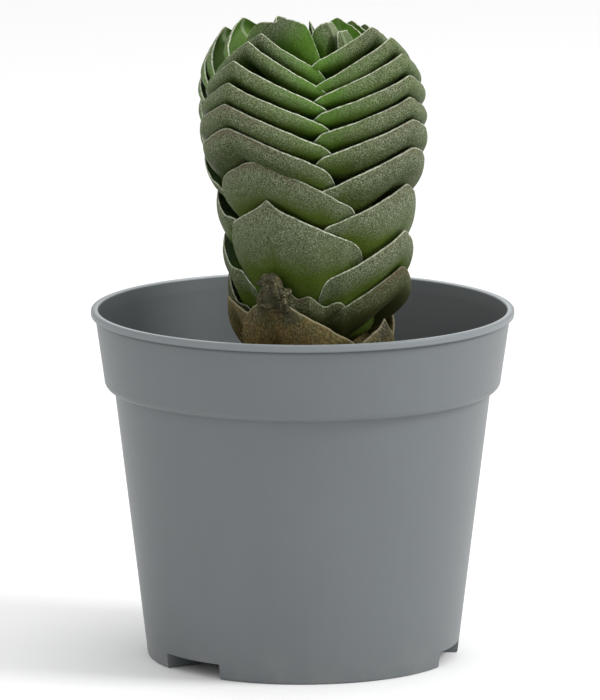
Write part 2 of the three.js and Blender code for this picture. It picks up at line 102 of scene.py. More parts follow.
LEFT_PAIRS = [
    (1.6, 157.6, 2.2, 5.0, 0.05, 0.0, 0.3, 54),
    (5.0, 158.9, 5.4, 6.0, 0.05, 0.0, 0.1, 54), (10.1, 161.2, 15.6, 1.6, 0.03, 1.9, 0.1, 38),
    (17.9, 157.9, 19.6, 7.9, 0.05, 0.2, 0.1, 46), (23.0, 156.5, 23.2, 10.5, 0.03, 0.4, 0.2, 44),
    (28.9, 152.4, 25.4, 10.7, 0.03, 0.5, 0.2, 42), (31.4, 147.3, 26.2, 10.1, 0.03, 0.6, 0.3, 40),
    (33.1, 142.2, 26.8, 10.5, 0.05, 0.5, 0.7, 38), (32.4, 136.1, 26.7, 10.0, 0.08, 0.3, 0.9, 37),
    (27.3, 127.4, 24.6, 9.5, 0.22, 0.0, 0.9, 36), (25.0, 117.8, 22.8, 9.5, 0.02, 1.3, 0.15, 40),
    (22.4, 98.8, 21.1, 6.9, 0.05, 3.2, 1.0, 18),
]
# The far leaf of a pair, behind the column: how much nearer the axis and lower it stands than the near one
FAR_LEAF_INSET, FAR_INSET_TOP_Z, FAR_LEAF_DROP, YOUNG_FAR_LEAF_DROP = 0.05, 155.0, 0.8, 2.2
# Far leaves of some pairs in the crown, by the pair's order: tip radius, tip height, and reach to the right
FAR_TIPS = {-1: (1.3, 158.9, 54), 0: (9.3, 159.4, 40), 3: (12.3, 158.4, 34), 4: (20.5, 158.0, 54),
            6: (26.5, 155.2, 54)}
FAR_YOUNG_DROP, FAR_YOUNG_ROUNDING = 5.5, 1.1

# The run of a leaf's wall down to the next leaf's margin, at its middle and at its corner at 45 degrees
LAST_WALL, LEAST_WALL, YOUNG_WALL, YOUNG_RADIUS = 7.2, 5.0, 9.0, 15.0
LEAST_CORNER_WALL, LAST_CORNER_WALL, CORNER_ANGLE = 2.2, 4.0, 45.0
# The least and greatest slope of a wall, outwards as it goes down, at its middle and at its corner
SLOPES, CORNER_SLOPES = (-0.62, 0.3), (-0.3, 0.6)
# How far a wall tucks in over its run, how much it bends, and its end as a share of the radius or depth
TUCK, CORNER_TUCK, BEND, CORNER_BEND, ROOT_PART, DEEPEST_START = 1.7, 0.95, 3.0, 1.3, 0.6, 0.8
# Degrees that a lobe reaches, past which of them a far leaf counts as old, and how a lobe's end closes
LEAF_WIDTH, OLD_LEAF_WIDTH, OLD_FAR_WIDTH, WIDE_FAR_LEAF, WIDEST_FAR_LEAF = 54.0, 64.0, 76.0, 60.0, 70.0
LOBE_CLOSING, YOUNG_CLOSING, YOUNG_ROUNDING = 10.0, 18.0, 2.6
# How far a lobe stands in from the other row's leaf, and by what share the oldest left leaves narrow below
LOBE_INSET, OLD_LOBE_INSET, OLD_FAR_INSET, OLD_TAPER = 0.35, 1.1, 2.2, 0.6
RIM_THICKNESS, ROOT_THICKNESS, CORNER_THINNING = 0.42, 1.4, 0.8
MARGIN_WAVE, WALL_SWELL = 0.22, 0.16
# The papillae: how far they tilt, their range of length, half their width, and how deep they stand
HAIR_TILT, HAIR_LENGTHS, HAIR_WIDTH, HAIR_SINK = 0.35, (0.5, 1.3), 0.32, 0.12

# Withered leaves at the foot: azimuth, tip radius, tip height, radius at 45 degrees, drop, wall, reach to
# the left and to the right in degrees, how far the tip juts out, and waviness of the margin
DRY_LEAVES = [
    (LEFT_ROW + OLD_LEAF_TWIST, 24.4, 96.0, 22.0, 12.5, 12.0, 29.0, 66.0, 2.4, 0.35),
    (LEFT_ROW + OLD_LEAF_TWIST + 180, 23.6, 93.0, 21.6, 10.0, 12.0, 30.0, 60.0, 2.0, 0.5),
    (RIGHT_ROW + OLD_LEAF_TWIST, 18.4, 86.0, 16.8, 8.0, 8.0, 34.0, 34.0, 1.2, 0.5),
    (RIGHT_ROW + OLD_LEAF_TWIST + 180, 22.8, 91.5, 21.8, 1.8, 11.0, 60.0, 76.0, 0.2, 0.5),
]
# Shrivelled tips: azimuth, foot height, radius, rise, the hook's radius and turn in degrees, and thickness
CURLED_TIPS = [(-27.0, 91.0, 23.4, 5.0, 1.5, 190.0, 2.7), (-31.0, 91.0, 23.6, 4.2, 1.6, 150.0, 1.9),
               (-21.0, 90.0, 23.8, 3.6, 1.3, -120.0, 1.6), (-25.0, 93.5, 24.0, 3.4, 1.2, 240.0, 1.7)]
SHEATH_RADIUS, SHEATH_INNER_RADIUS, SHEATH_BOTTOM, SHEATH_TOP, DRY_CORNER_WALL = 13.5, 8.0, 66.9, 77.0, 3.5
SHEATH_SIDES, SHEATH_ROWS, TIP_RINGS, TIP_SIDES, TIP_RISING = 120, 16, 40, 20, 0.35

# The grid of a leaf: columns from end to end of its lobes, and rows up the outer face, over the rim and
# down the inner face, which lie closer together by the rim. The rows are odd in number.
COLUMNS, OUTER_ROWS, RIM_ROWS, INNER_ROWS, ROW_CROWDING = 73, 20, 5, 10, 1.35

# Colours that no setting changes
SCUFFED, PEAT_DUST, FLOOR_SHADE = (0.23, 0.22, 0.2), (0.05, 0.04, 0.03), (0.8, 0.8, 0.8)
BARK, FIBRE, STAIN, TAN = (0.11, 0.062, 0.032), (0.16, 0.11, 0.07), (0.2, 0.15, 0.1), (0.33, 0.27, 0.2)
STRAW, DRY_EDGE = (0.34, 0.28, 0.15), (0.30, 0.27, 0.17)

# The stage, in metres: what the camera aims at to the side and up, how near and far it sees, its sensor's
# width in millimetres, what the lamps aim at, and each lamp's setting, place and size
CAMERA_AIM, NEAREST, FARTHEST, SENSOR_WIDTH = (-0.66 * MM, 0.0765), 0.1, 40, 36
LAMP_AIM, STAGE_HALF_WIDTH = (0, 0, 0.09), 8
LAMPS = {"key_light": ("key", (1.0, -0.25, 0.9), 0.45), "fill_light": ("fill", (-0.9, -0.6, 0.5), 0.7),
         "top_light": ("top", (0.1, 0.15, 1.1), 0.6)}


def smooth(low, high, x):
    """Smoothstep: 0 under low, 1 over high, and 3t2 - 2t3 between them"""
    t = np.clip((np.asarray(x, float) - low) / (high - low), 0, 1)
    return t * t * (3 - 2 * t)


def mix(a, b, t):
    """The point at share t of the way from a to b"""
    return a + (b - a) * t


def lattice_noise(points, pitch, seed, octaves=2):
    """Value noise from -1 to 1: random values on a cubic lattice with that pitch, blended by smoothstep
    weights. Each further octave has half the pitch and half the strength."""
    values = np.random.default_rng(seed).uniform(-1, 1, 65536)
    total, strength = 0.0, 0.0
    for octave in range(octaves):
        at = np.asarray(points, float) * 2 ** octave / pitch
        cell = np.floor(at).astype(np.int64)
        f = at - cell
        f = f * f * (3 - 2 * f)
        found = 0.0
        for corner in np.ndindex(2, 2, 2):
            c = cell + corner
            key = (c[..., 0] * 73856093 ^ c[..., 1] * 19349663 ^ c[..., 2] * 83492791) & 65535
            weight = np.prod(np.where(corner, f, 1 - f), axis=-1)
            found = found + weight * values[key]
        total = total + found / 2 ** octave
        strength += 1 / 2 ** octave
    return total / strength


def ripple(x, seed, waves=5):
    """A sum of sines along x, from about -1 to 1: each further one is 1.7 times as quick and 0.75 times as
    high, and their phases are random"""
    phases = np.random.default_rng(seed).uniform(0, 2 * math.pi, waves)
    heights = 0.75 ** np.arange(waves)
    return sum(h * np.sin(x * 1.7 ** k + p) for k, (h, p) in enumerate(zip(heights, phases))) / heights.sum()


def unit(vectors):
    """Each vector with its length made 1"""
    return vectors / np.linalg.norm(vectors, axis=-1)[:, None]


def times(factor, colour):
    """A lighter or darker tone of a colour"""
    return tuple(factor * c for c in colour)


def number_property(name, description, default, **more):
    """A number that the user may change"""
    return FloatProperty(name=name, description=description, default=default, **more)


def colour_property(name, description, *default):
    """A colour that the user may change"""
    return FloatVectorProperty(name=name, description=description, subtype="COLOR", size=3, min=0, max=1,
                               default=default)


def grid_faces(columns, rows, around=False, closed=False):
    """The quads of a grid of points with index column * rows + row, which may close on itself either way"""
    i = np.arange(columns if around else columns - 1)[:, None]
    k = np.arange(rows if closed else rows - 1)[None, :]
    j, m = (i + 1) % columns, (k + 1) % rows
    return np.stack([i * rows + k, j * rows + k, j * rows + m, i * rows + m], axis=-1).reshape(-1, 4)


def flipped(faces):
    """The same faces, turned over"""
    return faces[:, ::-1]


def make_piece(name, points, faces, material, replaces=(), values=None):
    """A piece from points in millimetres and a list of face arrays, with its float values on its corners"""
    mesh = bpy.data.meshes.new(name)
    corners = np.concatenate([f.ravel() for f in faces])
    sizes = np.concatenate([np.full(len(f), f.shape[1]) for f in faces])
    mesh.vertices.add(len(points))
    mesh.vertices.foreach_set("co", (np.asarray(points) * MM).astype(np.float32).ravel())
    mesh.loops.add(len(corners))
    mesh.loops.foreach_set("vertex_index", corners.astype(np.int32))
    mesh.polygons.add(len(sizes))
    mesh.polygons.foreach_set("loop_start", np.concatenate([[0], np.cumsum(sizes)[:-1]]).astype(np.int32))
    mesh.update(calc_edges=True)
    for key, value in (values or {}).items():
        layer = mesh.attributes.new(key, "FLOAT", "POINT")
        layer.data.foreach_set("value", np.asarray(value, np.float32).ravel())
    piece = bpy.data.objects.new(name, mesh)
    bpy.context.scene.collection.objects.link(piece)
    return finish_piece(piece, material, replaces)


def finish_piece(piece, material, replaces=(), sharp=None):
    """Smooth shading, the material, and the piece's place in the frame. sharp is the angle in degrees past
    which an edge stays crisp."""
    piece.data.polygons.foreach_set("use_smooth", np.ones(len(piece.data.polygons), bool))
    if sharp is not None:
        piece.data.set_sharp_from_angle(angle=sharp * DEG)
    piece.data.materials.clear()
    piece.data.materials.append(material)
    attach(piece, "root")
    if replaces:
        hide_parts(*replaces)
    return piece


def merge_doubles(piece):
    """Makes corners of the piece that lie together one, and drops the faces that this closes"""
    work = bmesh.new()
    work.from_mesh(piece.data)
    bmesh.ops.remove_doubles(work, verts=work.verts, dist=MERGE_DISTANCE)
    work.to_mesh(piece.data)
    work.free()


class Value:
    """A socket of a material, on which arithmetic adds Math nodes"""

    def __init__(self, surface, socket):
        self.surface, self.socket = surface, socket

    def _math(self, operation, *values):
        return self.surface.node("ShaderNodeMath", {"operation": operation}, dict(enumerate(values)))

    def __add__(self, other):
        return self._math("ADD", self, other)

    def __sub__(self, other):
        return self._math("SUBTRACT", self, other)

    def __rsub__(self, other):
        return self._math("SUBTRACT", other, self)

    def __mul__(self, other):
        return self._math("MULTIPLY", self, other)

    __radd__, __rmul__ = __add__, __mul__

    def least(self, other):
        return self._math("MINIMUM", self, other)

    def most(self, other):
        return self._math("MAXIMUM", self, other)

    def step(self, low, high):
        """0 under low and 1 over high, smooth between them. low may be the higher"""
        return self.surface.node("ShaderNodeMapRange", {"interpolation_type": "SMOOTHSTEP"},
                                 {"Value": self, "From Min": low, "From Max": high})


class Surface:
    """A material with one Principled shader, whose nodes are all made by node()"""

    def __init__(self, name, **constants):
        self.material = bpy.data.materials.new(name)
        self.material.use_nodes = True
        self.nodes, self.links = self.material.node_tree.nodes, self.material.node_tree.links
        self.shader = self.nodes["Principled BSDF"]
        for key, value in constants.items():
            self.shader.inputs[key.replace("_", " ").title().replace("Ior", "IOR")].default_value = value
        self.place = self.node("ShaderNodeTexCoord", output="Object")

    def node(self, kind, settings=None, inputs=None, output=0):
        """A node of that kind, with its settings first and then the values or links of its sockets"""
        node = self.nodes.new(kind)
        for key, value in (settings or {}).items():
            setattr(node, key, value)
        for key, value in (inputs or {}).items():
            self.put(node.inputs[key], value)
        return Value(self, node.outputs[output])

    def put(self, socket, value):
        """Links the value to the socket, or sets the socket to it"""
        if isinstance(value, Value):
            self.links.new(value.socket, socket)
        elif socket.type == "RGBA" and len(value) == 3:
            socket.default_value = (*value, 1)
        else:
            socket.default_value = value

    def feed(self, **sockets):
        """Links the shader's own sockets"""
        for key, value in sockets.items():
            self.put(self.shader.inputs[key.replace("_", " ").title()], value)
        return self.material

    def given(self, *names):
        """Float values that the piece's mesh carries"""
        found = [self.node("ShaderNodeAttribute", {"attribute_name": name}, output="Fac") for name in names]
        return found if len(found) > 1 else found[0]

    def blend(self, share, a, b):
        """Colour a turned into b by share"""
        settings = {"data_type": "RGBA", "clamp_factor": True}
        return self.node("ShaderNodeMix", settings, {0: share, 6: a, 7: b}, output=2)

    def layered(self, colour, *layers):
        """A colour with other colours laid over it in turn, each by its share"""
        for share, over in layers:
            colour = self.blend(share, colour, over)
        return colour

    def stretched(self, scale):
        """Object coordinates, scaled by three numbers"""
        return self.node("ShaderNodeMapping", inputs={"Vector": self.place, "Scale": scale})

    def noise(self, pitch, detail=3.0, roughness=0.5, distortion=0.0, place=None):
        """Noise whose features are about pitch millimetres wide, from 0 to 1"""
        inputs = {"Vector": place or self.place, "Scale": 1 / (pitch * MM), "Detail": detail,
                  "Roughness": roughness, "Distortion": distortion}
        return self.node("ShaderNodeTexNoise", inputs=inputs, output="Fac")

    def dots(self, pitch):
        """Distance from the nearest of scattered points, in shares of the pitch"""
        inputs = {"Vector": self.place, "Scale": 1 / (pitch * MM)}
        return self.node("ShaderNodeTexVoronoi", inputs=inputs, output="Distance")

    def bump(self, height, depth, strength=1.0):
        """A normal from a height from 0 to 1, where 1 is depth millimetres"""
        inputs = {"Height": height, "Distance": depth * MM, "Strength": strength}
        return self.node("ShaderNodeBump", inputs=inputs, output="Normal")


def arc(x, z, radius, start, end, steps):
    """Points on an arc about (x, z) in a profile, with angles in degrees from the profile's outward
    direction"""
    angle = np.linspace(start, end, steps + 1) * DEG
    return np.stack([x + radius * np.cos(angle), z + radius * np.sin(angle)], axis=1)


def line(start, end, steps):
    """Points from start to end, both included"""
    return mix(np.array(start, float), np.array(end, float), np.linspace(0, 1, steps + 1)[:, None])


def body_radius(z):
    """The pot's body tapers straight from its foot to its band"""
    return mix(BASE_RADIUS, BODY_TOP_RADIUS, z / BODY_TOP_Z)


def pot_profile():
    """The pot's section: under the floor, round the foot, up the body and band, over the lip, down inside"""
    lip_bottom, foot_inner = POT_HEIGHT - LIP_HEIGHT, BASE_RADIUS - FOOT_WIDTH
    foot_flat, corner = BASE_RADIUS - FOOT_EDGE - FOOT_FLAT, foot_inner - FLOOR_ROUNDING
    lip_centre, lip_inner = RIM_RADIUS - LIP_ROUNDING, RIM_RADIUS - LIP_WIDTH + LIP_ROUNDING
    neck, floor_top = lip_bottom - NECK_HEIGHT, FLOOR_HEIGHT + FLOOR_THICKNESS
    parts = [
        [[0, FLOOR_HEIGHT]],
        line((FLOOR_DISC, FLOOR_HEIGHT), (corner, FLOOR_HEIGHT), 4),
        arc(corner, FLOOR_HEIGHT - FLOOR_ROUNDING, FLOOR_ROUNDING, 90, 0, 3),
        line((foot_inner, FLOOR_HEIGHT - 1), (foot_inner + 0.05, FOOT_RISE + FOOT_INNER_ROUNDING), 2),
        arc(foot_inner + 0.45, FOOT_RISE + FOOT_INNER_ROUNDING, FOOT_INNER_ROUNDING, 180, 270, 3),
        line((foot_inner + 1, FOOT_RISE - 0.06), (foot_flat, 0), 4),
        line((foot_flat + 0.4, 0), (BASE_RADIUS - FOOT_EDGE, 0), 2),
        arc(body_radius(FOOT_EDGE) - FOOT_EDGE, FOOT_EDGE, FOOT_EDGE, -80, 0, 5),
        line((body_radius(1.2), 1.2), (body_radius(BODY_TOP_Z - 0.7), BODY_TOP_Z - 0.7), 24),
        [[body_radius(BODY_TOP_Z) - 0.02, BODY_TOP_Z - 0.12]],
        arc(BAND_BOTTOM_RADIUS - BAND_ROUNDING, BAND_BOTTOM_Z, BAND_ROUNDING, -78, 0, 12),
        line((mix(BAND_BOTTOM_RADIUS, BAND_TOP_RADIUS, 0.04), BAND_BOTTOM_Z + 0.6),
             (BAND_TOP_RADIUS, neck - 0.3), 8),
        [[BAND_TOP_RADIUS + 0.02, neck], [BAND_TOP_RADIUS + 0.1, lip_bottom - 0.12]],
        arc(lip_centre, lip_bottom + LIP_ROUNDING, LIP_ROUNDING, -70, 0, 5),
        arc(lip_centre, POT_HEIGHT - LIP_ROUNDING, LIP_ROUNDING, 0, 90, 7),
        arc(lip_inner, POT_HEIGHT - LIP_ROUNDING, LIP_ROUNDING, 90, 180, 7),
        [[BAND_TOP_RADIUS - WALL, neck - 0.5]],
        line((BAND_TOP_RADIUS - WALL - 0.05, neck - 1), (BAND_BOTTOM_RADIUS - WALL, BAND_BOTTOM_Z + 0.6), 8),
        line((BAND_BOTTOM_RADIUS - WALL - 0.3, BAND_BOTTOM_Z - 0.4),
             (body_radius(BODY_TOP_Z) - WALL, BODY_TOP_Z - 0.6), 3),
        line((body_radius(BODY_TOP_Z - 1) - WALL, BODY_TOP_Z - 1.4),
             (body_radius(FLOOR_THICKNESS) - WALL, FLOOR_THICKNESS), 12),
        [[foot_inner + WALL, FLOOR_THICKNESS + FOOT_RISE]],
        [[foot_inner + WALL, floor_top], [FLOOR_DISC, floor_top], [0, floor_top]],
    ]
    return np.concatenate([np.array(part, float) for part in parts])


def notched_angles():
    """Azimuths in degrees round the pot, and how far each is from the middle of the nearest notch. Both
    sides of a notch, outside and inside, have two azimuths a little apart for the side wall."""
    centres = FIRST_NOTCH + 360 / FEET * np.arange(FEET)
    inside = NOTCH_ANGLE + ROOF_OVERLAP
    half = np.array([NOTCH_ANGLE, NOTCH_ANGLE + 2 * NOTCH_DRAFT, inside, inside + 2 * NOTCH_DRAFT]) / 2
    edges = (centres[:, None] + np.concatenate([-half, half])).ravel()
    plain = np.arange(POT_SIDES) * 360 / POT_SIDES
    near = np.abs((plain[:, None] - edges + 180) % 360 - 180).min(axis=1)
    angles = np.sort(np.concatenate([plain[near > 0.5], edges % 360]))
    return angles, np.abs((angles[:, None] - centres + 180) % 360 - 180).min(axis=1)


def turned(radius, azimuth, z, lean=False):
    """Points at a radius and an azimuth in degrees from the front, about the pot's or the leaning axis"""
    x = axis_x(z) if lean else 0
    angle = azimuth * DEG
    return np.stack([x + radius * np.sin(angle), -radius * np.cos(angle), z + 0 * azimuth], -1)


def pot_plastic(settings):
    """Satin moulded plastic: a faint mottle, fine flow lines down the wall, a fine grain, a painted
    highlight on the lip over a painted shadow line under it, the inside wall painted lighter, and dust low
    down inside"""
    s = Surface("satin_grey_plastic", specular_ior_level=0.3)
    cloud = s.noise(26, 4, 0.55)
    flow = s.noise(3.2, 3, 0.5, place=s.stretched((1, 1, 0.06)))
    scuff = s.noise(5.0, 6, 0.72, 0.6).step(0.60, 0.74)
    tone = cloud * 0.7 + flow * 0.3
    height = s.node("ShaderNodeSeparateXYZ", inputs={0: s.place}, output="Z")
    inside, lip, neck = s.given("inside", "lip", "neck")
    low = height.step(0.012, 0.0) * s.noise(9, 5, 0.65).step(0.42, 0.7)
    dusty = inside * height.step(0.078, 0.067) * s.noise(2.0, 6, 0.75).step(0.50, 0.68)
    colour = s.layered(
        times(0.975, settings.plastic),
        (tone.step(0.3, 0.7), times(1.025, settings.plastic)),
        (low * 0.35, SCUFFED),
        (dusty * 0.3, PEAT_DUST),
        # A painted shadow line under the lip
        (neck * 0.8, times(0.3, settings.plastic)),
        # A painted highlight on the lip
        (lip, times(2.8, settings.plastic)),
        # The inside wall painted lighter, below the lip
        (inside * (1 - lip) * 0.15, times(2, settings.plastic)))
    grain = s.noise(0.35, 2, 0.5) * 0.5 + flow * 0.5
    rough = settings.roughness - 0.02 + tone * 0.04 + scuff * 0.05 + dusty * 0.3 - lip * 0.12
    return s.feed(base_color=colour, roughness=rough, normal=s.bump(grain, 0.03, 0.6))


class PotSettings(bpy.types.PropertyGroup):
    plastic: colour_property("Plastic", "Colour of the pot", 0.136, 0.150, 0.156)
    roughness: number_property("Roughness", "How dull the plastic is", 0.42, min=0, max=1)


class CRASSULA_OT_pot(bpy.types.Operator):
    """Makes the moulded pot with its lip, band, three feet and drain holes"""
    bl_idname = "crassula.make_pot"
    bl_label = "Make the pot"

    def execute(self, context):
        profile = pot_profile()
        angles, off = notched_angles()
        radius, height = profile.T
        inner = np.arange(len(profile)) > np.argmax(height)
        roof = np.where(inner, NOTCH_TOP + FLOOR_THICKNESS, NOTCH_TOP)
        reach = np.where(inner, NOTCH_ANGLE + ROOF_OVERLAP, NOTCH_ANGLE) / 2 + 0.01
        z = np.where(off[:, None] < reach, np.maximum(height, roof), height)
        points = turned(radius, angles[:, None], z)
        faces = grid_faces(len(angles), len(profile), around=True)
        # Painted highlight: lip is 1 on the lip's top and inner edge and 0.2 on its outer face, where the
        # plastic is painted lighter
        down = POT_HEIGHT - height
        edge = smooth(0.5, 0.05, down) * smooth(RIM_RADIUS - 0.1, RIM_RADIUS - 1.0, radius)
        lip = np.where(inner, edge, np.maximum(edge, 0.2 * smooth(LIP_HEIGHT, LIP_HEIGHT - 0.5, down)))
        # Painted shadow: neck is a band under the lip's overhang, where the plastic is painted darker
        below = ~inner & (radius < RIM_RADIUS - 0.3) & (lip == 0)
        neck = smooth(LIP_HEIGHT + 0.9, LIP_HEIGHT + 0.2, down) * below
        values = {"inside": inner, "lip": lip, "neck": neck}
        values = {key: np.broadcast_to(value, z.shape) for key, value in values.items()}
        material = pot_plastic(context.scene.crassula_pot)
        points = points.reshape(-1, 3)
        piece = make_piece("moulded_pot", points, [faces], material, ["pot"], values)
        merge_doubles(piece)
        bore_drains(piece)
        finish_piece(piece, material, sharp=CRISP_ANGLE)
        return {"FINISHED"}


def bore_drains(piece):
    """Round holes through the roof of each notch, cut from the mesh"""
    work = bmesh.new()
    for notch in range(FEET):
        for side in (-1, 1):
            azimuth, radius = FIRST_NOTCH + 360 / FEET * notch + side * DRAIN_ANGLE, DRAIN_RADIUS * MM
            centre = turned(DRAIN_RING, np.array(azimuth), np.array(NOTCH_TOP + FLOOR_THICKNESS / 2)) * MM
            added = bmesh.ops.create_cone(work, cap_ends=True, segments=DRAIN_SIDES, radius1=radius,
                                          radius2=radius, depth=DRAIN_CUT * MM)
            bmesh.ops.translate(work, verts=added["verts"], vec=centre)
    mesh = bpy.data.meshes.new("drain_cutter")
    work.to_mesh(mesh)
    work.free()
    cutter = bpy.data.objects.new("drain_cutter", mesh)
    bpy.context.scene.collection.objects.link(cutter)
    cut = piece.modifiers.new("drains", "BOOLEAN")
    cut.operation, cut.solver, cut.object = "DIFFERENCE", "EXACT", cutter
    bpy.context.view_layer.update()
    made = piece.evaluated_get(bpy.context.evaluated_depsgraph_get())
    bored = bpy.data.meshes.new_from_object(made)
    piece.modifiers.remove(cut)
    old, piece.data = piece.data, bored
    bored.name = old.name + "_bored"
    bpy.data.objects.remove(cutter)
    bpy.data.meshes.remove(mesh)
    bpy.data.meshes.remove(old)


def crumb_form():
    """A cube with each side cut in four and its corners drawn in towards a ball: 26 points and 24 quads"""
    axis = np.array([-1.0, 0.0, 1.0])
    grid = np.stack(np.meshgrid(axis, axis, axis), -1).reshape(-1, 3)
    shell = grid[np.abs(grid).max(axis=1) > 0.5]
    index = {tuple(p): k for k, p in enumerate(shell.tolist())}
    faces = []
    for side in range(3):
        u, v = [k for k in range(3) if k != side]
        for sign in (-1.0, 1.0):
            for i, j in ((-1.0, -1.0), (0.0, -1.0), (0.0, 0.0), (-1.0, 0.0)):
                quad = []
                for a, b in ((i, j), (i + 1, j), (i + 1, j + 1), (i, j + 1)):
                    p = [0.0, 0.0, 0.0]
                    p[side], p[u], p[v] = sign, a, b
                    quad.append(index[tuple(p)])
                outward = sign if side != 1 else -sign
                faces.append(quad if outward > 0 else quad[::-1])
    return shell / np.linalg.norm(shell, axis=1)[:, None] ** CRUMB_ROUNDNESS, np.array(faces)


def scattered(centres, sizes, flat, seed):
    """Crumbs at the centres: the crumb form, its corners moved at random, squashed, turned and scaled"""
    rng = np.random.default_rng(seed)
    form, faces = crumb_form()
    count = len(centres)
    points = form[None] * (1 + rng.uniform(-CRUMB_UNEVENNESS, CRUMB_UNEVENNESS, (count, len(form), 1)))
    size = [rng.uniform(*part, count) for part in (CRUMB_LENGTH, CRUMB_WIDTH, flat)]
    points = points * np.stack(size, -1)[:, None, :]
    q = rng.normal(size=(count, 4)) * [1.0, 0.35, 0.35, 1.0]
    w, x, y, z = unit(q).T
    turn = np.stack([1 - 2 * (y * y + z * z), 2 * (x * y - z * w), 2 * (x * z + y * w),
                     2 * (x * y + z * w), 1 - 2 * (x * x + z * z), 2 * (y * z - x * w),
                     2 * (x * z - y * w), 2 * (y * z + x * w), 1 - 2 * (x * x + y * y)], -1)
    points = np.einsum("cij,cpj->cpi", turn.reshape(-1, 3, 3), points)
    points = points * sizes[:, None, None] + centres[:, None, :]
    every = faces[None] + (np.arange(count) * len(form))[:, None, None]
    tones = np.repeat(rng.uniform(0, 1, count), len(form))
    return points.reshape(-1, 3), every.reshape(-1, 4), tones


def soil_height(x, y):
    """The top of the mix: hollows and heaps about a millimetre deep, a little lower at the wall"""
    place = np.stack([x, y, 0 * x], -1)
    radius = np.hypot(x, y)
    return (SOIL_TOP - MEAN_DROP + lattice_noise(place, HEAP_PITCH, HEAP_SEED)
            + CLOD_HEIGHT * lattice_noise(place, CLOD_PITCH, HEAP_SEED + 1, 3)
            - WALL_DIP * smooth(38, 45, radius))


def mix_radius(z):
    """The mix stands GAP off the inside of the pot's wall"""
    return body_radius(z) - WALL - GAP


def stem_shift(radius):
    """How far the mix is shifted to the right with the stem, which fades out towards the wall"""
    return axis_x(SOIL_TOP) * smooth(30, 8, radius)


def peat(settings):
    """Damp peat and bark: dark browns, with paler fibres and a crumbly surface"""
    s = Surface("peat_and_bark", specular_ior_level=0.3)
    tone = s.given("tone")
    fibre = s.noise(0.5, 4, 0.7, 1.5).step(0.56, 0.7)
    colour = s.layered(
        times(0.45, settings.peat),
        (s.noise(1.6, 5, 0.65).step(0.3, 0.75), settings.peat),
        (tone.step(0.25, 1.0) * 0.7, BARK),
        (fibre * 0.35, FIBRE))
    height = s.noise(0.45, 5, 0.7) * 0.6 + s.dots(0.8).least(1.0) * 0.4
    return s.feed(base_color=colour, roughness=0.82 + fibre * 0.15, normal=s.bump(height, 0.35, 0.9))


def pumice(settings):
    """Pale mineral grains, pitted, and stained by the peat"""
    s = Surface("mineral_grains", specular_ior_level=0.35)
    stain = s.noise(1.1, 5, 0.7).step(0.42, 0.7)
    colour = s.layered(settings.grain, (stain * 0.8, STAIN), (s.given("tone").step(0.4, 1.0) * 0.6, TAN))
    pits = s.dots(0.35).step(0.1, 0.5)
    return s.feed(base_color=colour, roughness=0.8 + stain * 0.1, normal=s.bump(pits, 0.15, 0.8))


class MixSettings(bpy.types.PropertyGroup):
    peat: colour_property("Peat", "Colour of the mix", 0.042, 0.026, 0.016)
    grain: colour_property("Mineral grain", "Colour of the pale grains", 0.55, 0.5, 0.42)
    crumbs: IntProperty(name="Crumbs", description="How many loose crumbs lie on the mix", min=0,
                        default=1500)
    grains: IntProperty(name="Grains", description="How many pale grains lie on the mix", min=0, default=260)


class CRASSULA_OT_mix(bpy.types.Operator):
    """Makes the potting mix with crumbs of bark and pale mineral grains on it"""
    bl_idname = "crassula.make_mix"
    bl_label = "Make the potting mix"

    def execute(self, context):
        settings = context.scene.crassula_mix
        bottom, hole = FLOOR_HEIGHT + FLOOR_THICKNESS + GAP, STEM_RADIUS + GAP
        radius = mix(hole, mix_radius(SOIL_TOP - SOIL_EDGE), np.linspace(0, 1, MIX_RINGS) ** 0.9)
        azimuth = np.arange(MIX_SIDES) * 360 / MIX_SIDES
        top = turned(radius[None, :], azimuth[:, None], np.full((MIX_SIDES, MIX_RINGS), SOIL_TOP))
        top[..., 0] += stem_shift(radius)
        top[..., 2] = soil_height(top[..., 0], top[..., 1])
        walls = [(mix_radius(MIX_TAPER_Z), MIX_TAPER_Z), (mix_radius(bottom), bottom), (hole, bottom),
                 (hole, STEM_BOTTOM)]
        below = np.stack([turned(r, azimuth, np.full(MIX_SIDES, z)) for r, z in walls], axis=1)
        below[:, 3, 0] += axis_x(SOIL_TOP)
        points = np.concatenate([top, below], axis=1)
        faces = flipped(grid_faces(MIX_SIDES, points.shape[1], around=True, closed=True))
        rng = np.random.default_rng(STREWN_SEED)

        def strewn(count, low, high, lift):
            """Centres spread evenly over the ring round the stem, above the mix by a share of their size"""
            r = np.sqrt(rng.uniform(CRUMB_RING_INNER ** 2, CRUMB_RING_OUTER ** 2, count))
            a = rng.uniform(0, 2 * math.pi, count)
            size = mix(low, high, rng.uniform(0, 1, count) ** 2.2)
            x, y = r * np.cos(a) + stem_shift(r), r * np.sin(a)
            return np.stack([x, y, soil_height(x, y) + lift * size], -1), size

        bark, crumbs, tones = scattered(*strewn(settings.crumbs, *BARK_SIZES), BARK_FLATNESS, BARK_SEED)
        count = points.size // 3
        everything = np.concatenate([points.reshape(-1, 3), bark])
        quads = np.concatenate([faces, crumbs + count])
        values = {"tone": np.concatenate([np.full(count, 0.2), tones])}
        make_piece("peat_mix", everything, [quads], peat(settings), ["potting_mix"], values)
        stones, quads, tones = scattered(*strewn(settings.grains, *GRAIN_SIZES), GRAIN_FLATNESS, GRAIN_SEED)
        make_piece("pale_grains", stones, [quads], pumice(settings), values={"tone": tones})
        return {"FINISHED"}


def axis_x(z):
    """The column's axis leans: it is AXIS_OFFSET off the pot's axis at the top, and AXIS_LEAN more below"""
    down = np.clip((AXIS_TOP_Z - np.asarray(z, float)) / AXIS_LEAN_HEIGHT, 0, None)
    return AXIS_OFFSET + AXIS_LEAN * down ** AXIS_BEND


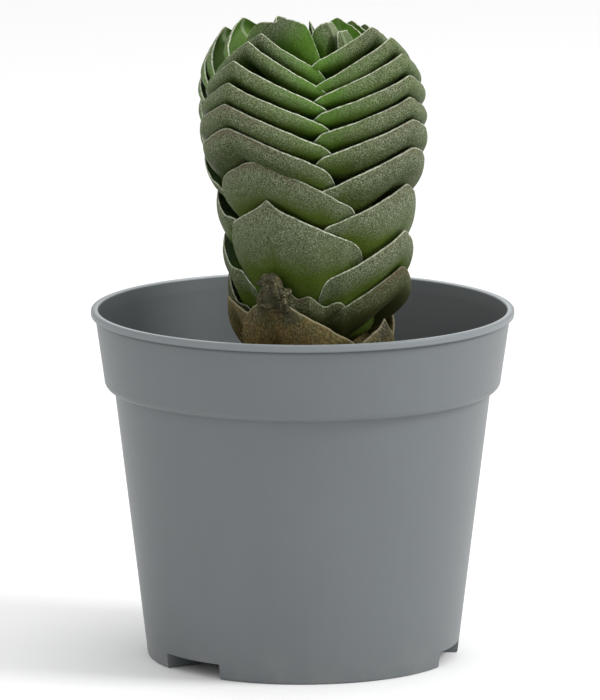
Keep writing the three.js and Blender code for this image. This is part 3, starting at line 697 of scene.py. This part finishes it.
def far_leaf(order, tip, z, young, width):
    """What differs on the far leaf of a pair: it is lower and further in, and more pointed in the crown"""
    inset = FAR_LEAF_INSET if z < FAR_INSET_TOP_Z else 0
    plain = (tip * (1 - inset), z - (YOUNG_FAR_LEAF_DROP if young else FAR_LEAF_DROP), width)
    tip, z, reach = FAR_TIPS.get(order, plain)
    leaf = {"tip": tip, "z": z, "width": reach, "ruffle": 0, "taper": 0,
            "left_width": OLD_LEAF_WIDTH if width > WIDE_FAR_LEAF else width}
    if width > WIDEST_FAR_LEAF:
        leaf["inset"] = OLD_FAR_INSET
    if young:
        leaf.update(drop=FAR_YOUNG_DROP, rounding=FAR_YOUNG_ROUNDING, jut=0)
    return leaf


def leaf_pairs():
    """Every pair of green leaves from the top, by the same rule as the part's own leaves. The run of its
    wall comes from the next pair of its row, and what its lobes take is the mean of the pairs above and
    below."""
    pairs = []
    for first, row, table in ((0, RIGHT_ROW, RIGHT_PAIRS), (-1, LEFT_ROW, LEFT_PAIRS)):
        for i, (tip, z, corner, drop, blunt, jut, brown, left_width) in enumerate(table):
            after = table[i + 1] if i + 1 < len(table) else None
            step = z - after[1] if after else LAST_WALL
            corner_step = z - drop - (after[1] - after[3]) if after else LAST_WALL
            slope = np.clip((after[0] - tip) / max(step, 1), *SLOPES) if after else 0
            lean = np.clip((after[2] - corner) / max(corner_step, 1), *CORNER_SLOPES) if after else 0
            old = 1 - float(smooth(TWIST_BOTTOM_Z, TWIST_TOP_Z, z))
            young = tip < YOUNG_RADIUS
            pairs.append(dict(
                order=first + 2 * i, row=row, azimuth=row + OLD_LEAF_TWIST * old, tip=tip, z=z,
                corner=corner, drop=drop, blunt=blunt, jut=jut, brown=brown,
                wall=YOUNG_WALL if young else max(LEAST_WALL, step), slope=slope, corner_slope=lean,
                width=mix(LEAF_WIDTH, OLD_LEAF_WIDTH, old), left_width=left_width,
                ruffle=smooth(2, 3, jut), taper=OLD_TAPER * old if row == LEFT_ROW and jut < 2 else 0,
                inset=mix(LOBE_INSET, OLD_LOBE_INSET, old), rounding=YOUNG_ROUNDING if young else 1.0,
                closing=YOUNG_CLOSING if young else LOBE_CLOSING,
                far=far_leaf(first + 2 * i, tip, z, young, mix(LEAF_WIDTH, OLD_FAR_WIDTH, old))))
    pairs.sort(key=lambda pair: pair["order"])
    for i, pair in enumerate(pairs):
        above = pairs[i - 1] if i else pair
        below = pairs[i + 1] if i + 1 < len(pairs) else above
        drop_step = pair["z"] - pair["drop"] - (below["z"] - below["drop"])
        pair["corner_wall"] = max(LEAST_CORNER_WALL, drop_step) if below is not above else LAST_CORNER_WALL
        pair["side"] = {key: (above[key] + below[key]) / 2 for key in ("tip", "drop", "wall", "slope")}
        pair["age"] = i / (len(pairs) - 1)
    return pairs


def eased(share, soft):
    """A share from 0 to 1 whose start is rounded by soft: a hyperbola, scaled to end at 1"""
    return (np.sqrt(share ** 2 + soft ** 2) - soft) / (math.sqrt(1 + soft ** 2) - soft)


def section(outer, rim, inner):
    """Numbers by column and row round a leaf's section, from those of its outer face, rim and inner face"""
    columns = np.zeros((COLUMNS, 1))
    return np.concatenate([outer + columns, rim + columns, inner + columns], axis=1)


def leaf_surface(leaf, azimuth, seed):
    """One leaf as a closed surface. Its margin is highest at the tip and falls to each side; from the
    margin the outer face goes down as a parabola in depth, which bulges and then tucks in to the root. Past
    45 degrees the lobe takes the other row's parabola. The wall is set off along the face's normal, and the
    rim is half a circle. Returns points by column and by row round the section, and the values that its
    material reads."""
    drop, side = leaf["drop"], leaf["side"]
    half = COLUMNS // 2 + 1
    left, right = np.linspace(-leaf["left_width"], 0, half), np.linspace(0, leaf["width"], half)
    s = np.concatenate([left, right[1:]])[:, None]
    width = np.where(s < 0, leaf["left_width"], leaf["width"])
    a = np.abs(s)
    past = np.clip(a - CORNER_ANGLE, 0, None) / CORNER_ANGLE
    beyond = past > 0

    def own(key):
        """The leaf's number, or past the corner that of the other row"""
        return np.where(beyond, side[key], leaf[key])

    # The margin: its radius, and its height with a rounded or a jutting tip
    part = np.where(beyond, 1 - past, a / CORNER_ANGLE)
    keel = np.where(beyond, part, eased(part, 0.05 + 0.6 * leaf["blunt"]))
    point = np.where(beyond, part, eased(part ** leaf["rounding"], leaf["blunt"]))
    margin = mix(own("tip"), leaf["corner"], keel) - leaf["inset"] * smooth(0, 0.15, past)
    jut = leaf["jut"] * (1 - np.clip(1 - part / 0.25, 0, 1) ** 2) * (1 - part) ** 0.7
    jut = np.where((s > 0) & (leaf["rounding"] > 2), 0, jut)
    margin_z = leaf["z"] - drop + own("drop") * (1 - point) - np.where(beyond, 0, jut) - 0.1

    # The wall: radius = margin + linear * d - square * d * d at depth d, down to the root's radius
    near = smooth(0.5, 1, part)
    pitch = mix(own("wall"), leaf["corner_wall"], near)
    tuck, bend = mix(TUCK, CORNER_TUCK, near), mix(BEND, CORNER_BEND, near)
    square = tuck * bend / pitch ** 2
    linear = tuck * (bend - 1) / pitch + mix(own("slope"), leaf["corner_slope"], part)
    root = ROOT_PART * leaf["corner"]
    depth = (linear + np.sqrt(linear ** 2 + 4 * square * (margin - root))) / (2 * square)

    # The margin starts lower on a lobe, falls to the root in a quarter circle at its end, and is waved
    start = np.minimum(DEEPEST_START * depth, (own("drop") + drop) * past)
    close = np.minimum(leaf.get("closing", LOBE_CLOSING), width)
    closing = np.clip((a - (width - close)) / close, 0, 1)
    start = start + (0.9 * depth - start) * (1 - np.sqrt(1 - closing ** 2))
    waved = leaf.get("wave", MARGIN_WAVE) * ripple(s / 5.5, seed, 6) * smooth(0, 9, a) * (1 - closing)
    ruffle = leaf.get("ruffle", 0) * smooth(6, 16, s)
    waved = waved + ruffle * (0.9 * np.sin(s * 0.33 + 0.4) - 0.7) * (1 - smooth(44, 56, s) * 0.6)

    def face(share):
        """Radius, height, lean and depth of the outer face at a share of its depth"""
        d = start + (depth - start) * share
        place = np.stack([s / 9 + 0 * d, d / 4, np.full(d.shape, seed * 1.7)], -1)
        swell = WALL_SWELL * lattice_noise(place, 1, SWELL_SEED) * smooth(0, 0.15, share)
        radius = margin + linear * d - square * d ** 2 + swell + waved * 0.6
        return radius, margin_z - d + waved * (1 - share), linear - 2 * square * d, d

    out_share = np.linspace(1, 0, OUTER_ROWS)[None, :] ** ROW_CROWDING
    in_share = np.linspace(0, 1, INNER_ROWS)[None, :] ** ROW_CROWDING
    r, z, lean, d = face(out_share)
    in_r, in_z, in_lean, in_d = face(in_share)
    thickness = mix(RIM_THICKNESS, ROOT_THICKNESS, np.sqrt(in_share)) * mix(1, CORNER_THINNING, near)
    scale = thickness / np.hypot(1, in_lean)
    in_r, in_z = in_r - scale, in_z - scale * in_lean
    half_r, half_z = (r[:, -1:] - in_r[:, :1]) / 2, (z[:, -1:] - in_z[:, :1]) / 2
    angle = np.linspace(0, math.pi, RIM_ROWS + 2)[None, 1:-1]
    rim_r = r[:, -1:] - half_r + half_r * np.cos(angle) - half_z * np.sin(angle)
    rim_z = z[:, -1:] - half_z + half_z * np.cos(angle) + half_r * np.sin(angle)
    flat = np.zeros((1, RIM_ROWS))
    down = section(d, d[:, -1:] + flat, in_d) / depth
    narrowed = 1 - leaf.get("taper", 0) * smooth(0.15, 1.1, down) * smooth(0, -20, s)
    points = turned(section(r, rim_r, in_r), azimuth + s * narrowed, section(z, rim_z, in_z), lean=True)
    values = {
        "from_rim": section((d - start) * np.hypot(1, lean), flat, (in_d - start) * np.hypot(1, in_lean)),
        "from_tip": a, "side": s,
        "depth": section(out_share, flat, in_share),
        "inner": section(0 * out_share, np.linspace(0.15, 0.85, RIM_ROWS)[None], 0 * in_share + 1),
        "age": leaf["age"], "brown": leaf["brown"], "tone": np.random.default_rng(seed).uniform(0, 1),
    }
    return points, {key: np.broadcast_to(value, down.shape) for key, value in values.items()}


def joined_leaves(leaves):
    """The points, faces and values of several leaves of one grid. Both ends of each are closed: the loop
    round its section is odd in number, so quads across it end in a triangle in the middle."""
    columns, loop = leaves[0][0].shape[:2]
    last, middle = (columns - 1) * loop, loop // 2
    k = np.arange(middle - 1)
    cap = np.stack([k, k + 1, loop - 2 - k, loop - 1 - k], -1)
    three = np.array([[middle - 1, middle, middle + 1]])
    quads = np.concatenate([grid_faces(columns, loop, closed=True), cap, flipped(cap) + last])
    threes = np.concatenate([three, flipped(three) + last])
    shift = (np.arange(len(leaves)) * columns * loop)[:, None, None]
    sets = [(quads[None] + shift).reshape(-1, 4), (threes[None] + shift).reshape(-1, 3)]
    points = np.concatenate([p.reshape(-1, 3) for p, _ in leaves])
    values = {key: np.concatenate([v[key].ravel() for _, v in leaves]) for key in leaves[0][1]}
    return points, sets, values


def curled_tip(azimuth, z, radius, rise, hook, turn, thick, seed):
    """A shrivelled leaf tip: a wrinkled tube that thins along its path, which rises and then turns over in
    a hook in the plane that touches the column. Returns points and faces, closed at both ends."""
    t = np.linspace(0, 1, TIP_RINGS)
    bend = np.clip((t - TIP_RISING) / (1 - TIP_RISING), 0, 1) * abs(turn) * DEG
    across = hook * (1 - np.cos(bend)) * np.sign(turn)
    up = rise * np.clip(t / TIP_RISING, 0, 1) + hook * np.sin(bend)
    out = 0.9 * np.sin(math.pi * np.clip(t / 0.8, 0, 1))
    outward = np.array([math.sin(azimuth * DEG), -math.cos(azimuth * DEG), 0.0])
    along = np.array([math.cos(azimuth * DEG), math.sin(azimuth * DEG), 0.0])
    foot = np.array([float(axis_x(z)), 0.0, z]) + radius * outward
    path = foot + across[:, None] * -along + up[:, None] * [0, 0, 1] + out[:, None] * outward
    forward = unit(np.gradient(path, axis=0))
    first = unit(outward - (forward @ outward)[:, None] * forward)
    second = np.cross(forward, first)
    around = np.arange(TIP_SIDES) * 2 * math.pi / TIP_SIDES
    folds = 1 + 0.3 * np.cos(3 * around + seed + 4 * t[:, None]) + 0.12 * np.cos(7 * around + 9 * t[:, None])
    girth = thick * (1 - 0.6 * t) * np.sqrt(np.clip(np.minimum(t / 0.05, (1 - t) / 0.08), 0.02, 1))
    place = np.stack([*np.broadcast_arrays(6 * t[:, None], np.cos(around), np.sin(around))], -1)
    wide = girth[:, None] * folds * (1 + 0.3 * lattice_noise(place, 0.8, seed))
    ring = (path[:, None] + wide[..., None] * (np.cos(around)[None, :, None] * first[:, None]
                                               + np.sin(around)[None, :, None] * second[:, None]))
    last, k = TIP_RINGS * TIP_SIDES, np.arange(TIP_SIDES)
    after = (k + 1) % TIP_SIDES
    ends = [np.stack([0 * k + last, after, k], -1),
            np.stack([0 * k + last + 1, k + last - TIP_SIDES, after + last - TIP_SIDES], -1)]
    quads = grid_faces(TIP_RINGS, TIP_SIDES, closed=True)
    return np.concatenate([ring.reshape(-1, 3), path[[0, -1]]]), [flipped(quads), *ends]


def margin_hairs(leaves, spacing, length, seed):
    """Papillae on the rims: small four-sided cones, evenly spaced along each margin, tilted at random"""
    rng = np.random.default_rng(seed)
    crest = OUTER_ROWS + RIM_ROWS // 2
    roots, ups, ages = [], [], []
    for points, values in leaves:
        rim = points[:, crest]
        up = rim - (points[:, OUTER_ROWS - 1] + points[:, OUTER_ROWS + RIM_ROWS]) / 2
        run = np.concatenate([[0], np.cumsum(np.linalg.norm(np.diff(rim, axis=0), axis=1))])
        at = np.arange(spacing, run[-1] - spacing, spacing)
        at = at + rng.uniform(-0.3, 0.3, len(at)) * spacing
        roots.append(np.stack([np.interp(at, run, rim[:, k]) for k in range(3)], -1))
        ups.append(np.stack([np.interp(at, run, up[:, k]) for k in range(3)], -1))
        ages.append(np.full(len(at), values["age"][0, 0]))
    root = np.concatenate(roots)
    up = unit(unit(np.concatenate(ups)) + rng.normal(0, HAIR_TILT, root.shape))
    across = unit(np.cross(up, rng.normal(size=root.shape)))
    other = np.cross(up, across)
    long = length * rng.uniform(*HAIR_LENGTHS, (len(root), 1))
    thick = HAIR_WIDTH * long
    base = root - HAIR_SINK * up
    points = np.stack([base + thick * across, base + thick * other, base - thick * across,
                       base - thick * other, root + long * up], axis=1)
    shift = (np.arange(len(root)) * 5)[:, None, None]
    sides = np.array([[0, 1, 4], [1, 2, 4], [2, 3, 4], [3, 0, 4]])[None] + shift
    floor = np.array([[3, 2, 1, 0]])[None] + shift
    values = {"age": np.repeat(np.concatenate(ages), 5)}
    return points.reshape(-1, 3), [sides.reshape(-1, 3), floor.reshape(-1, 4)], values


def even_values(count, **values):
    """Values for a leaf's material, each one the same at all the points or given point by point"""
    return {key: np.full(count, value, float) for key, value in values.items()}


def stem_surface():
    """The heart of the column: a section turned about the leaning axis, uneven by noise, and closed by two
    fans. Returns points, faces and the values of the leaves' material."""
    heights, radii = np.array(HEART, float).T
    z = np.linspace(heights[0], heights[-1], HEART_RINGS)
    around = np.arange(HEART_SIDES)
    azimuth = around[:, None] * 360 / HEART_SIDES
    place = np.stack(np.broadcast_arrays(azimuth / 20, z[None] / 3, 0.5), -1)
    rough = 1 + HEART_UNEVENNESS * lattice_noise(place, 1, HEART_SEED)
    radius = np.clip(np.interp(z, heights, radii) - HEART_INSET, 0.5, None) * rough
    points = turned(radius, azimuth, np.broadcast_to(z, radius.shape), lean=True)
    ends = turned(np.zeros(2), np.zeros(2), z[[0, -1]], lean=True)
    after, count, last = (around + 1) % HEART_SIDES, HEART_RINGS, HEART_SIDES * HEART_RINGS
    bottom = np.stack([0 * around + last, after * count, around * count], -1)
    top = np.stack([0 * around + last + 1, around * count + count - 1, after * count + count - 1], -1)
    points = np.concatenate([points.reshape(-1, 3), ends])
    fresh = smooth(HEART_OLD_Z, HEART_FRESH_Z, points[:, 2])
    values = even_values(len(points), from_rim=6, from_tip=40, side=9, depth=0.7, inner=fresh, age=1 - fresh,
                         brown=0.5 * (1 - fresh), tone=0.5)
    return points, [grid_faces(HEART_SIDES, count, around=True), bottom, top], values


def green_leaf(settings):
    """Fleshy leaf: bright and smooth where leaves overlap, grey-green under fine pale papillae towards the
    tip, with a thin pale margin, and red-brown flecks beside it on older leaves. Painted shade lies deep on
    each outer face and on the left of a young leaf's keel; the inner faces are painted lighter on the right
    of young leaves and on older leaves; and a pale line on the keel is partly the midrib's own colour and
    partly a painted highlight, with a painted highlight on the right of the youngest leaves"""
    s = Surface("crassula_leaf", specular_ior_level=0.1, subsurface_weight=0.04, subsurface_scale=0.001)
    rim, tip, side, depth = s.given("from_rim", "from_tip", "side", "depth")
    inner, age, brown, tone = s.given("inner", "age", "brown", "tone")
    cloud, patch, clump = s.noise(6, 4, 0.6), s.noise(1.8, 5, 0.65), s.noise(1.6, 4, 0.65)
    dot, grain = s.dots(0.36), s.noise(0.34, 2, 0.6)
    within, old = inner.step(0.5, 0.9), age.step(0.7, 0.88)
    outer, wither = 1 - within, brown.step(0.93, 1.0) * (0.6 + patch * 0.6)
    frost = (tip.step(44, 4) * 0.5 + rim.step(5.0, 0.6) * 0.3 + (cloud - 0.5) * 0.8
             + age.step(0.45, 0.8) * 0.45 - depth.step(0.15, 0.7) * (0.6 + old * 0.6)) * outer
    smooth_side = tip.step(28, 46) * age.step(0.78, 0.5)
    frost = frost.most(0.0).least(1.0) * (1 - smooth_side * 0.7)
    # Painted light: lit makes the inner faces lighter on the right of young leaves and all over on older
    # leaves, and darker elsewhere
    right = s.node("ShaderNodeSeparateXYZ", inputs={0: s.place}, output="X").step(0.0, 0.008)
    lit = (right * age.step(0.4, 0.2)).most(age.step(0.45, 0.65))
    # Painted shade deep on each outer face, down where it tucks in above the next leaf's margin
    shade = depth.step(0.04, 0.42) * (0.85 - age.step(0.72, 0.79) * 0.7) * (0.35 + tip.step(50, 25) * 0.65)
    shade = shade * (0.35 + age.step(0.175, 0.21) * 0.65)
    # Painted shade on the left of a young leaf's keel, the side of the fold turned from the light
    shaded_left_of_keel = side.step(1.0, -2.5) * age.step(0.4, 0.15) * tip.step(40, 12)
    pits = (dot.step(0.25, 0.55) * 0.45 + grain.step(0.54, 0.36) * 0.75) * (0.6 + clump * 0.5)
    papilla = (dot.step(0.42, 0.12) * 0.4 + grain.step(0.48, 0.66) * 0.7) * clump.step(0.15, 0.65)
    papilla = papilla * (frost * 0.8 + 0.08 - smooth_side * 0.03) * (1 - wither * 0.4)
    # A pale line on the keel, partly the midrib's own colour and partly a painted highlight on the ridge;
    # lit_side is a painted highlight on the right of the youngest leaves' keel
    keel = tip.step(2.4, 0.7) * within + tip.step(4.0, 1.0) * age.step(0.2, 0.1) * outer
    lit_side = side.step(1.0, 6.0) * age.step(0.06, 0.045) * outer
    fleck = s.noise(0.8, 5, 0.75).step(0.5, 0.64) * rim.step(3.6, 0.3) * tip.step(42, 6)
    blush = rim.step(2.4, 0.2) * tip.step(34, 2)
    broken = s.noise(0.9, 4, 0.7).step(0.36, 0.6)
    edge = rim.step(0.2, 0.04) * inner.step(0.7, 0.5) * (0.25 + broken * 0.75) * (1 - wither * 0.5)
    dark = times(0.3, settings.old_green)
    colour = s.layered(
        settings.young_green,
        (age.step(0.35, 0.8), settings.old_green),
        (old * depth.step(0.2, 0.5) * brown.step(0.98, 0.9), settings.lush_green),
        # Inner faces in a painted-light copy and a painted-shade copy of their green
        (within, s.blend(lit, times(0.8, settings.inner_green), times(1.7, settings.inner_green))),
        (patch.step(0.4, 0.8) * 0.5, times(0.5, settings.young_green)),
        (frost, s.blend(tone * 0.5, settings.frost, times(1.25, settings.frost))),
        (wither, settings.wither),
        (shade * outer, dark),
        (shaded_left_of_keel * 0.35 * outer, dark),
        (pits * (0.4 + frost * 0.45) * outer, dark),
        (papilla * outer, settings.papilla),
        # Pale keel line, partly midrib colour and partly painted highlight, and the painted highlight of the
        # lit side
        (keel * 0.45 + lit_side * 0.3, settings.papilla),
        ((fleck * 0.85 + blush * 0.3) * brown * outer, settings.brown),
        (edge * (1 - brown * tip.step(40, 5) * 0.6), settings.margin))
    rough = 0.45 + frost * 0.3 + papilla * 0.1
    height = (dot.step(0.5, 0.1) * 0.6 + grain * 0.8) * (frost * 0.8 + 0.2) * outer + patch * 0.4
    return s.feed(base_color=colour, roughness=rough, normal=s.bump(height, 0.16, 1.0))


def papilla_skin(settings):
    """Pale, slightly waxy papillae"""
    s = Surface("margin_papillae", specular_ior_level=0.4, subsurface_weight=0.1, subsurface_scale=0.0005)
    mottle = s.noise(2.5, 3, 0.6).step(0.35, 0.7)
    browned = s.given("age").step(0.6, 1.0) * mottle * 0.5
    colour = s.layered(settings.margin, (mottle * 0.7, settings.papilla), (browned, settings.brown))
    return s.feed(base_color=colour, roughness=0.5 + mottle * 0.2)


class LeafSettings(bpy.types.PropertyGroup):
    young_green: colour_property("Young green", "Smooth colour of the young leaves", 0.086, 0.212, 0.014)
    old_green: colour_property("Old green", "Smooth colour of the old leaves", 0.072, 0.105, 0.013)
    lush_green: colour_property("Lush green", "Colour low down on the oldest leaves", 0.085, 0.132, 0.015)
    inner_green: colour_property("Inner green", "Colour of the smooth inner faces", 0.105, 0.20, 0.035)
    frost: colour_property("Frost", "Colour of the face under papillae", 0.146, 0.172, 0.102)
    papilla: colour_property("Papillae", "Colour of the papillae", 0.36, 0.40, 0.27)
    margin: colour_property("Margin", "Colour of the thin margin", 0.55, 0.58, 0.45)
    brown: colour_property("Brown", "Colour of the flecks by the margin", 0.095, 0.048, 0.033)
    wither: colour_property("Withering", "Colour of a leaf that starts to wither", 0.060, 0.064, 0.022)
    hair_spacing: number_property("Papilla spacing", "Distance between papillae", 0.0004, unit="LENGTH")
    hair_length: number_property("Papilla length", "Length of the margin's papillae", 0.00014, unit="LENGTH")


class CRASSULA_OT_leaves(bpy.types.Operator):
    """Makes the stem, both rows of green leaves and the papillae on their margins"""
    bl_idname = "crassula.make_leaves"
    bl_label = "Make the green leaves"

    def execute(self, context):
        settings = context.scene.crassula_leaves
        material = green_leaf(settings)
        rows = {RIGHT_ROW: [], LEFT_ROW: []}
        for pair in leaf_pairs():
            far = {**pair, **pair["far"]}
            for leaf, turn, seed in ((pair, 0, 2 * pair["order"] + 2), (far, 180, 2 * pair["order"] + 3)):
                rows[pair["row"]].append(leaf_surface(leaf, leaf["azimuth"] + turn, seed))
        names = {RIGHT_ROW: "right_row_leaves", LEFT_ROW: "left_row_leaves"}
        for row, leaves in rows.items():
            points, faces, values = joined_leaves(leaves)
            make_piece(names[row], points, faces, material, ["leafy_column"], values)
        spacing, length = settings.hair_spacing / MM, settings.hair_length / MM
        points, faces, values = margin_hairs(rows[RIGHT_ROW] + rows[LEFT_ROW], spacing, length, HAIR_SEED)
        make_piece("margin_papillae", points, faces, papilla_skin(settings), values=values)
        points, faces, values = stem_surface()
        make_piece("leafy_stem", points, faces, material, values=values)
        return {"FINISHED"}


def withered_leaf(settings):
    """Withered leaf: ochre and olive shot with brown, darker and papery to the tip, wrinkled lengthwise"""
    s = Surface("withered_leaf", specular_ior_level=0.3)
    rim, tip, depth = s.given("from_rim", "from_tip", "depth")
    cloud = s.noise(5, 5, 0.65, 0.4)
    dark = tip.step(26, 6) * rim.step(9.0, 1.5) * (0.5 + cloud)
    grain, clump = s.noise(0.55, 2, 0.6), s.noise(2.2, 4, 0.65)
    colour = s.layered(
        settings.ochre,
        (cloud.step(0.38, 0.66), settings.olive),
        (s.noise(1.8, 5, 0.7).step(0.48, 0.72) * 0.75, settings.brown),
        (dark * 0.9, settings.shrivelled),
        (grain.step(0.52, 0.36) * (0.3 + clump * 0.5), times(0.4, settings.brown)),
        (grain.step(0.5, 0.66) * clump.step(0.4, 0.62) * 0.5, STRAW),
        (rim.step(0.5, 0.1) * 0.7, DRY_EDGE),
        (depth.step(0.5, 1.0) * 0.5, times(0.5, settings.brown)))
    wrinkle = s.noise(0.8, 4, 0.65, 0.8, place=s.stretched((1, 1, 0.35)))
    height = wrinkle * 0.7 + s.noise(0.3, 3, 0.6) * 0.3
    return s.feed(base_color=colour, roughness=0.62 + wrinkle * 0.25, normal=s.bump(height, 0.3, 0.7))


def dry_leaf(number):
    """One withered leaf: the same surface as a green leaf's, with the numbers of its row in DRY_LEAVES"""
    azimuth, tip, z, corner, drop, wall, left, right, jut, wave = DRY_LEAVES[number]
    side = {"tip": tip, "drop": drop, "wall": wall, "slope": 0}
    leaf = dict(tip=tip, z=z, corner=corner, drop=drop, wall=wall, left_width=left, width=right, side=side,
                slope=0, corner_slope=0, corner_wall=DRY_CORNER_WALL, inset=0, rounding=1.0, blunt=0.05,
                brown=1.0, age=1.0, jut=jut, wave=wave)
    return leaf_surface(leaf, azimuth, DRY_SEED + number)


def sheath_surface():
    """The sheath that joins the withered leaves round the stem: a tube whose section goes up outside and
    down inside, with a wave round it that grows upward, and noise. Returns points and faces."""
    up = np.linspace(SHEATH_BOTTOM, SHEATH_TOP, SHEATH_ROWS)
    height = np.concatenate([up, np.linspace(SHEATH_TOP, SHEATH_BOTTOM, SHEATH_ROWS)])
    outside = np.arange(2 * SHEATH_ROWS) < SHEATH_ROWS
    azimuth = np.arange(SHEATH_SIDES)[:, None] * 360 / SHEATH_SIDES
    place = np.stack(np.broadcast_arrays(azimuth / 7, height[None] / 9, 0.3), -1)
    wave = 0.7 * ripple(azimuth * DEG * 6, SHEATH_SEED) * smooth(SHEATH_BOTTOM, SHEATH_TOP, height)
    radius = np.where(outside, SHEATH_RADIUS, SHEATH_INNER_RADIUS)
    radius = radius + 0.5 * lattice_noise(place, 1, SHEATH_SEED + 1) + np.where(outside, wave, 0)
    ring = turned(radius, azimuth, np.broadcast_to(height, radius.shape), lean=True)
    return ring.reshape(-1, 3), [grid_faces(SHEATH_SIDES, 2 * SHEATH_ROWS, around=True, closed=True)]


class DryLeafSettings(bpy.types.PropertyGroup):
    ochre: colour_property("Ochre", "Palest colour of the withered leaves", 0.185, 0.130, 0.036)
    olive: colour_property("Olive", "Green that is left in the withered leaves", 0.095, 0.095, 0.028)
    shrivelled: colour_property("Shrivelled", "Colour of the shrivelled tips", 0.038, 0.042, 0.022)
    brown: colour_property("Brown", "Darkest colour of the withered leaves", 0.075, 0.042, 0.022)


class CRASSULA_OT_dry(bpy.types.Operator):
    """Makes the withered leaves and their sheath at the foot of the column"""
    bl_idname = "crassula.make_dry_leaves"
    bl_label = "Make the withered leaves"

    def execute(self, context):
        points, sets, values = joined_leaves([dry_leaf(number) for number in range(len(DRY_LEAVES))])
        added = [(sheath_surface(), {"from_rim": 5, "from_tip": 40, "depth": 0.8})]
        for number, tip in enumerate(CURLED_TIPS):
            added.append((curled_tip(*tip, TIP_SEED + number), {"from_rim": 2, "from_tip": 3, "depth": 0}))
        for (place, faces), even in added:
            sets += [part + len(points) for part in faces]
            points = np.concatenate([points, place])
            extra = even_values(len(place), **even)
            values = {key: np.concatenate([values[key], extra[key]]) for key in extra}
        material = withered_leaf(context.scene.crassula_dry)
        make_piece("withered_leaves", points, sets, material, ["dry_leaves"], values)
        return {"FINISHED"}


class StageSettings(bpy.types.PropertyGroup):
    floor: colour_property("Floor", "Colour of the floor", 0.96, 0.96, 0.96)
    distance: number_property("Camera distance", "From the camera to the pot's axis", 2.2, unit="LENGTH")
    elevation: number_property("Camera elevation", "Angle above the horizon", 10.38 * DEG, subtype="ANGLE")
    lens: number_property("Lens", "Focal length of the camera in millimetres", 456.0)
    key: number_property("Key light", "Watts of the light on the right", 10.0)
    fill: number_property("Fill light", "Watts of the light on the left", 0.25)
    top: number_property("Top light", "Watts of the light overhead", 1.8)
    sky: number_property("Surroundings", "Strength of the light from all round", 0.87)


class CRASSULA_OT_stage(bpy.types.Operator):
    """Makes the pale floor, the soft lights and the camera"""
    bl_idname = "crassula.make_stage"
    bl_label = "Make the stage"

    def execute(self, context):
        scene, settings = context.scene, context.scene.crassula_stage
        paint = Surface("pale_floor", specular_ior_level=0.2)
        soft = paint.noise(400, 2, 0.5)
        colour = paint.blend(soft * 0.04, settings.floor, FLOOR_SHADE)
        paint.feed(base_color=colour, roughness=0.8 + soft * 0.05)
        mesh = bpy.data.meshes.new("floor")
        square = ((-1, -1), (1, -1), (1, 1), (-1, 1))
        corners = [(x * STAGE_HALF_WIDTH, y * STAGE_HALF_WIDTH, 0) for x, y in square]
        mesh.from_pydata(corners, [], [(0, 1, 2, 3)])
        floor = bpy.data.objects.new("floor", mesh)
        mesh.materials.append(paint.material)
        scene.collection.objects.link(floor)
        world = bpy.data.worlds.new("soft_surroundings")
        world.use_nodes = True
        background = world.node_tree.nodes["Background"].inputs
        background["Color"].default_value = (1, 1, 1, 1)
        background["Strength"].default_value = settings.sky
        scene.world = world
        for name, (power, place, size) in LAMPS.items():
            light = bpy.data.lights.new(name, "AREA")
            light.energy, light.size = getattr(settings, power), size
            lamp = bpy.data.objects.new(name, light)
            lamp.location = place
            aim = Vector(LAMP_AIM) - lamp.location
            lamp.rotation_euler = aim.to_track_quat("-Z", "Y").to_euler()
            scene.collection.objects.link(lamp)
        camera = bpy.data.cameras.new("camera")
        camera.lens, camera.sensor_width = settings.lens, SENSOR_WIDTH
        camera.clip_start, camera.clip_end = NEAREST, FARTHEST
        viewer = bpy.data.objects.new("camera", camera)
        elevation = settings.elevation
        viewer.location = (CAMERA_AIM[0], -settings.distance * math.cos(elevation),
                           CAMERA_AIM[1] + settings.distance * math.sin(elevation))
        viewer.rotation_euler = (math.pi / 2 - elevation, 0, 0)
        scene.collection.objects.link(viewer)
        scene.camera = viewer
        scene.view_settings.view_transform = "Standard"
        return {"FINISHED"}


class CRASSULA_PT_panel(bpy.types.Panel):
    """Lists the steps that make the plant, and their settings"""
    bl_idname = "CRASSULA_PT_panel"
    bl_label = "Potted Crassula"
    bl_space_type = "VIEW_3D"
    bl_region_type = "UI"
    bl_category = "Crassula"

    def draw(self, context):
        for operator, name, group in STEPS:
            box = self.layout.box()
            box.operator(operator.bl_idname)
            for setting in group.__annotations__:
                box.prop(getattr(context.scene, name), setting)


STEPS = [
    (CRASSULA_OT_pot, "crassula_pot", PotSettings),
    (CRASSULA_OT_mix, "crassula_mix", MixSettings),
    (CRASSULA_OT_leaves, "crassula_leaves", LeafSettings),
    (CRASSULA_OT_dry, "crassula_dry", DryLeafSettings),
    (CRASSULA_OT_stage, "crassula_stage", StageSettings),
]


def register():
    """Registers the settings and the steps, and then the panel"""
    for operator, name, group in STEPS:
        bpy.utils.register_class(group)
        setattr(bpy.types.Scene, name, PointerProperty(type=group))
        bpy.utils.register_class(operator)
    bpy.utils.register_class(CRASSULA_PT_panel)


def unregister():
    """Undoes register() in the opposite order"""
    bpy.utils.unregister_class(CRASSULA_PT_panel)
    for operator, name, group in reversed(STEPS):
        bpy.utils.unregister_class(operator)
        delattr(bpy.types.Scene, name)
        bpy.utils.unregister_class(group)


def main():
    """Makes every piece and the stage"""
    register()
    bpy.ops.crassula.make_pot()
    bpy.ops.crassula.make_mix()
    bpy.ops.crassula.make_leaves()
    bpy.ops.crassula.make_dry_leaves()
    bpy.ops.crassula.make_stage()


if __name__ == "__main__":
    main()
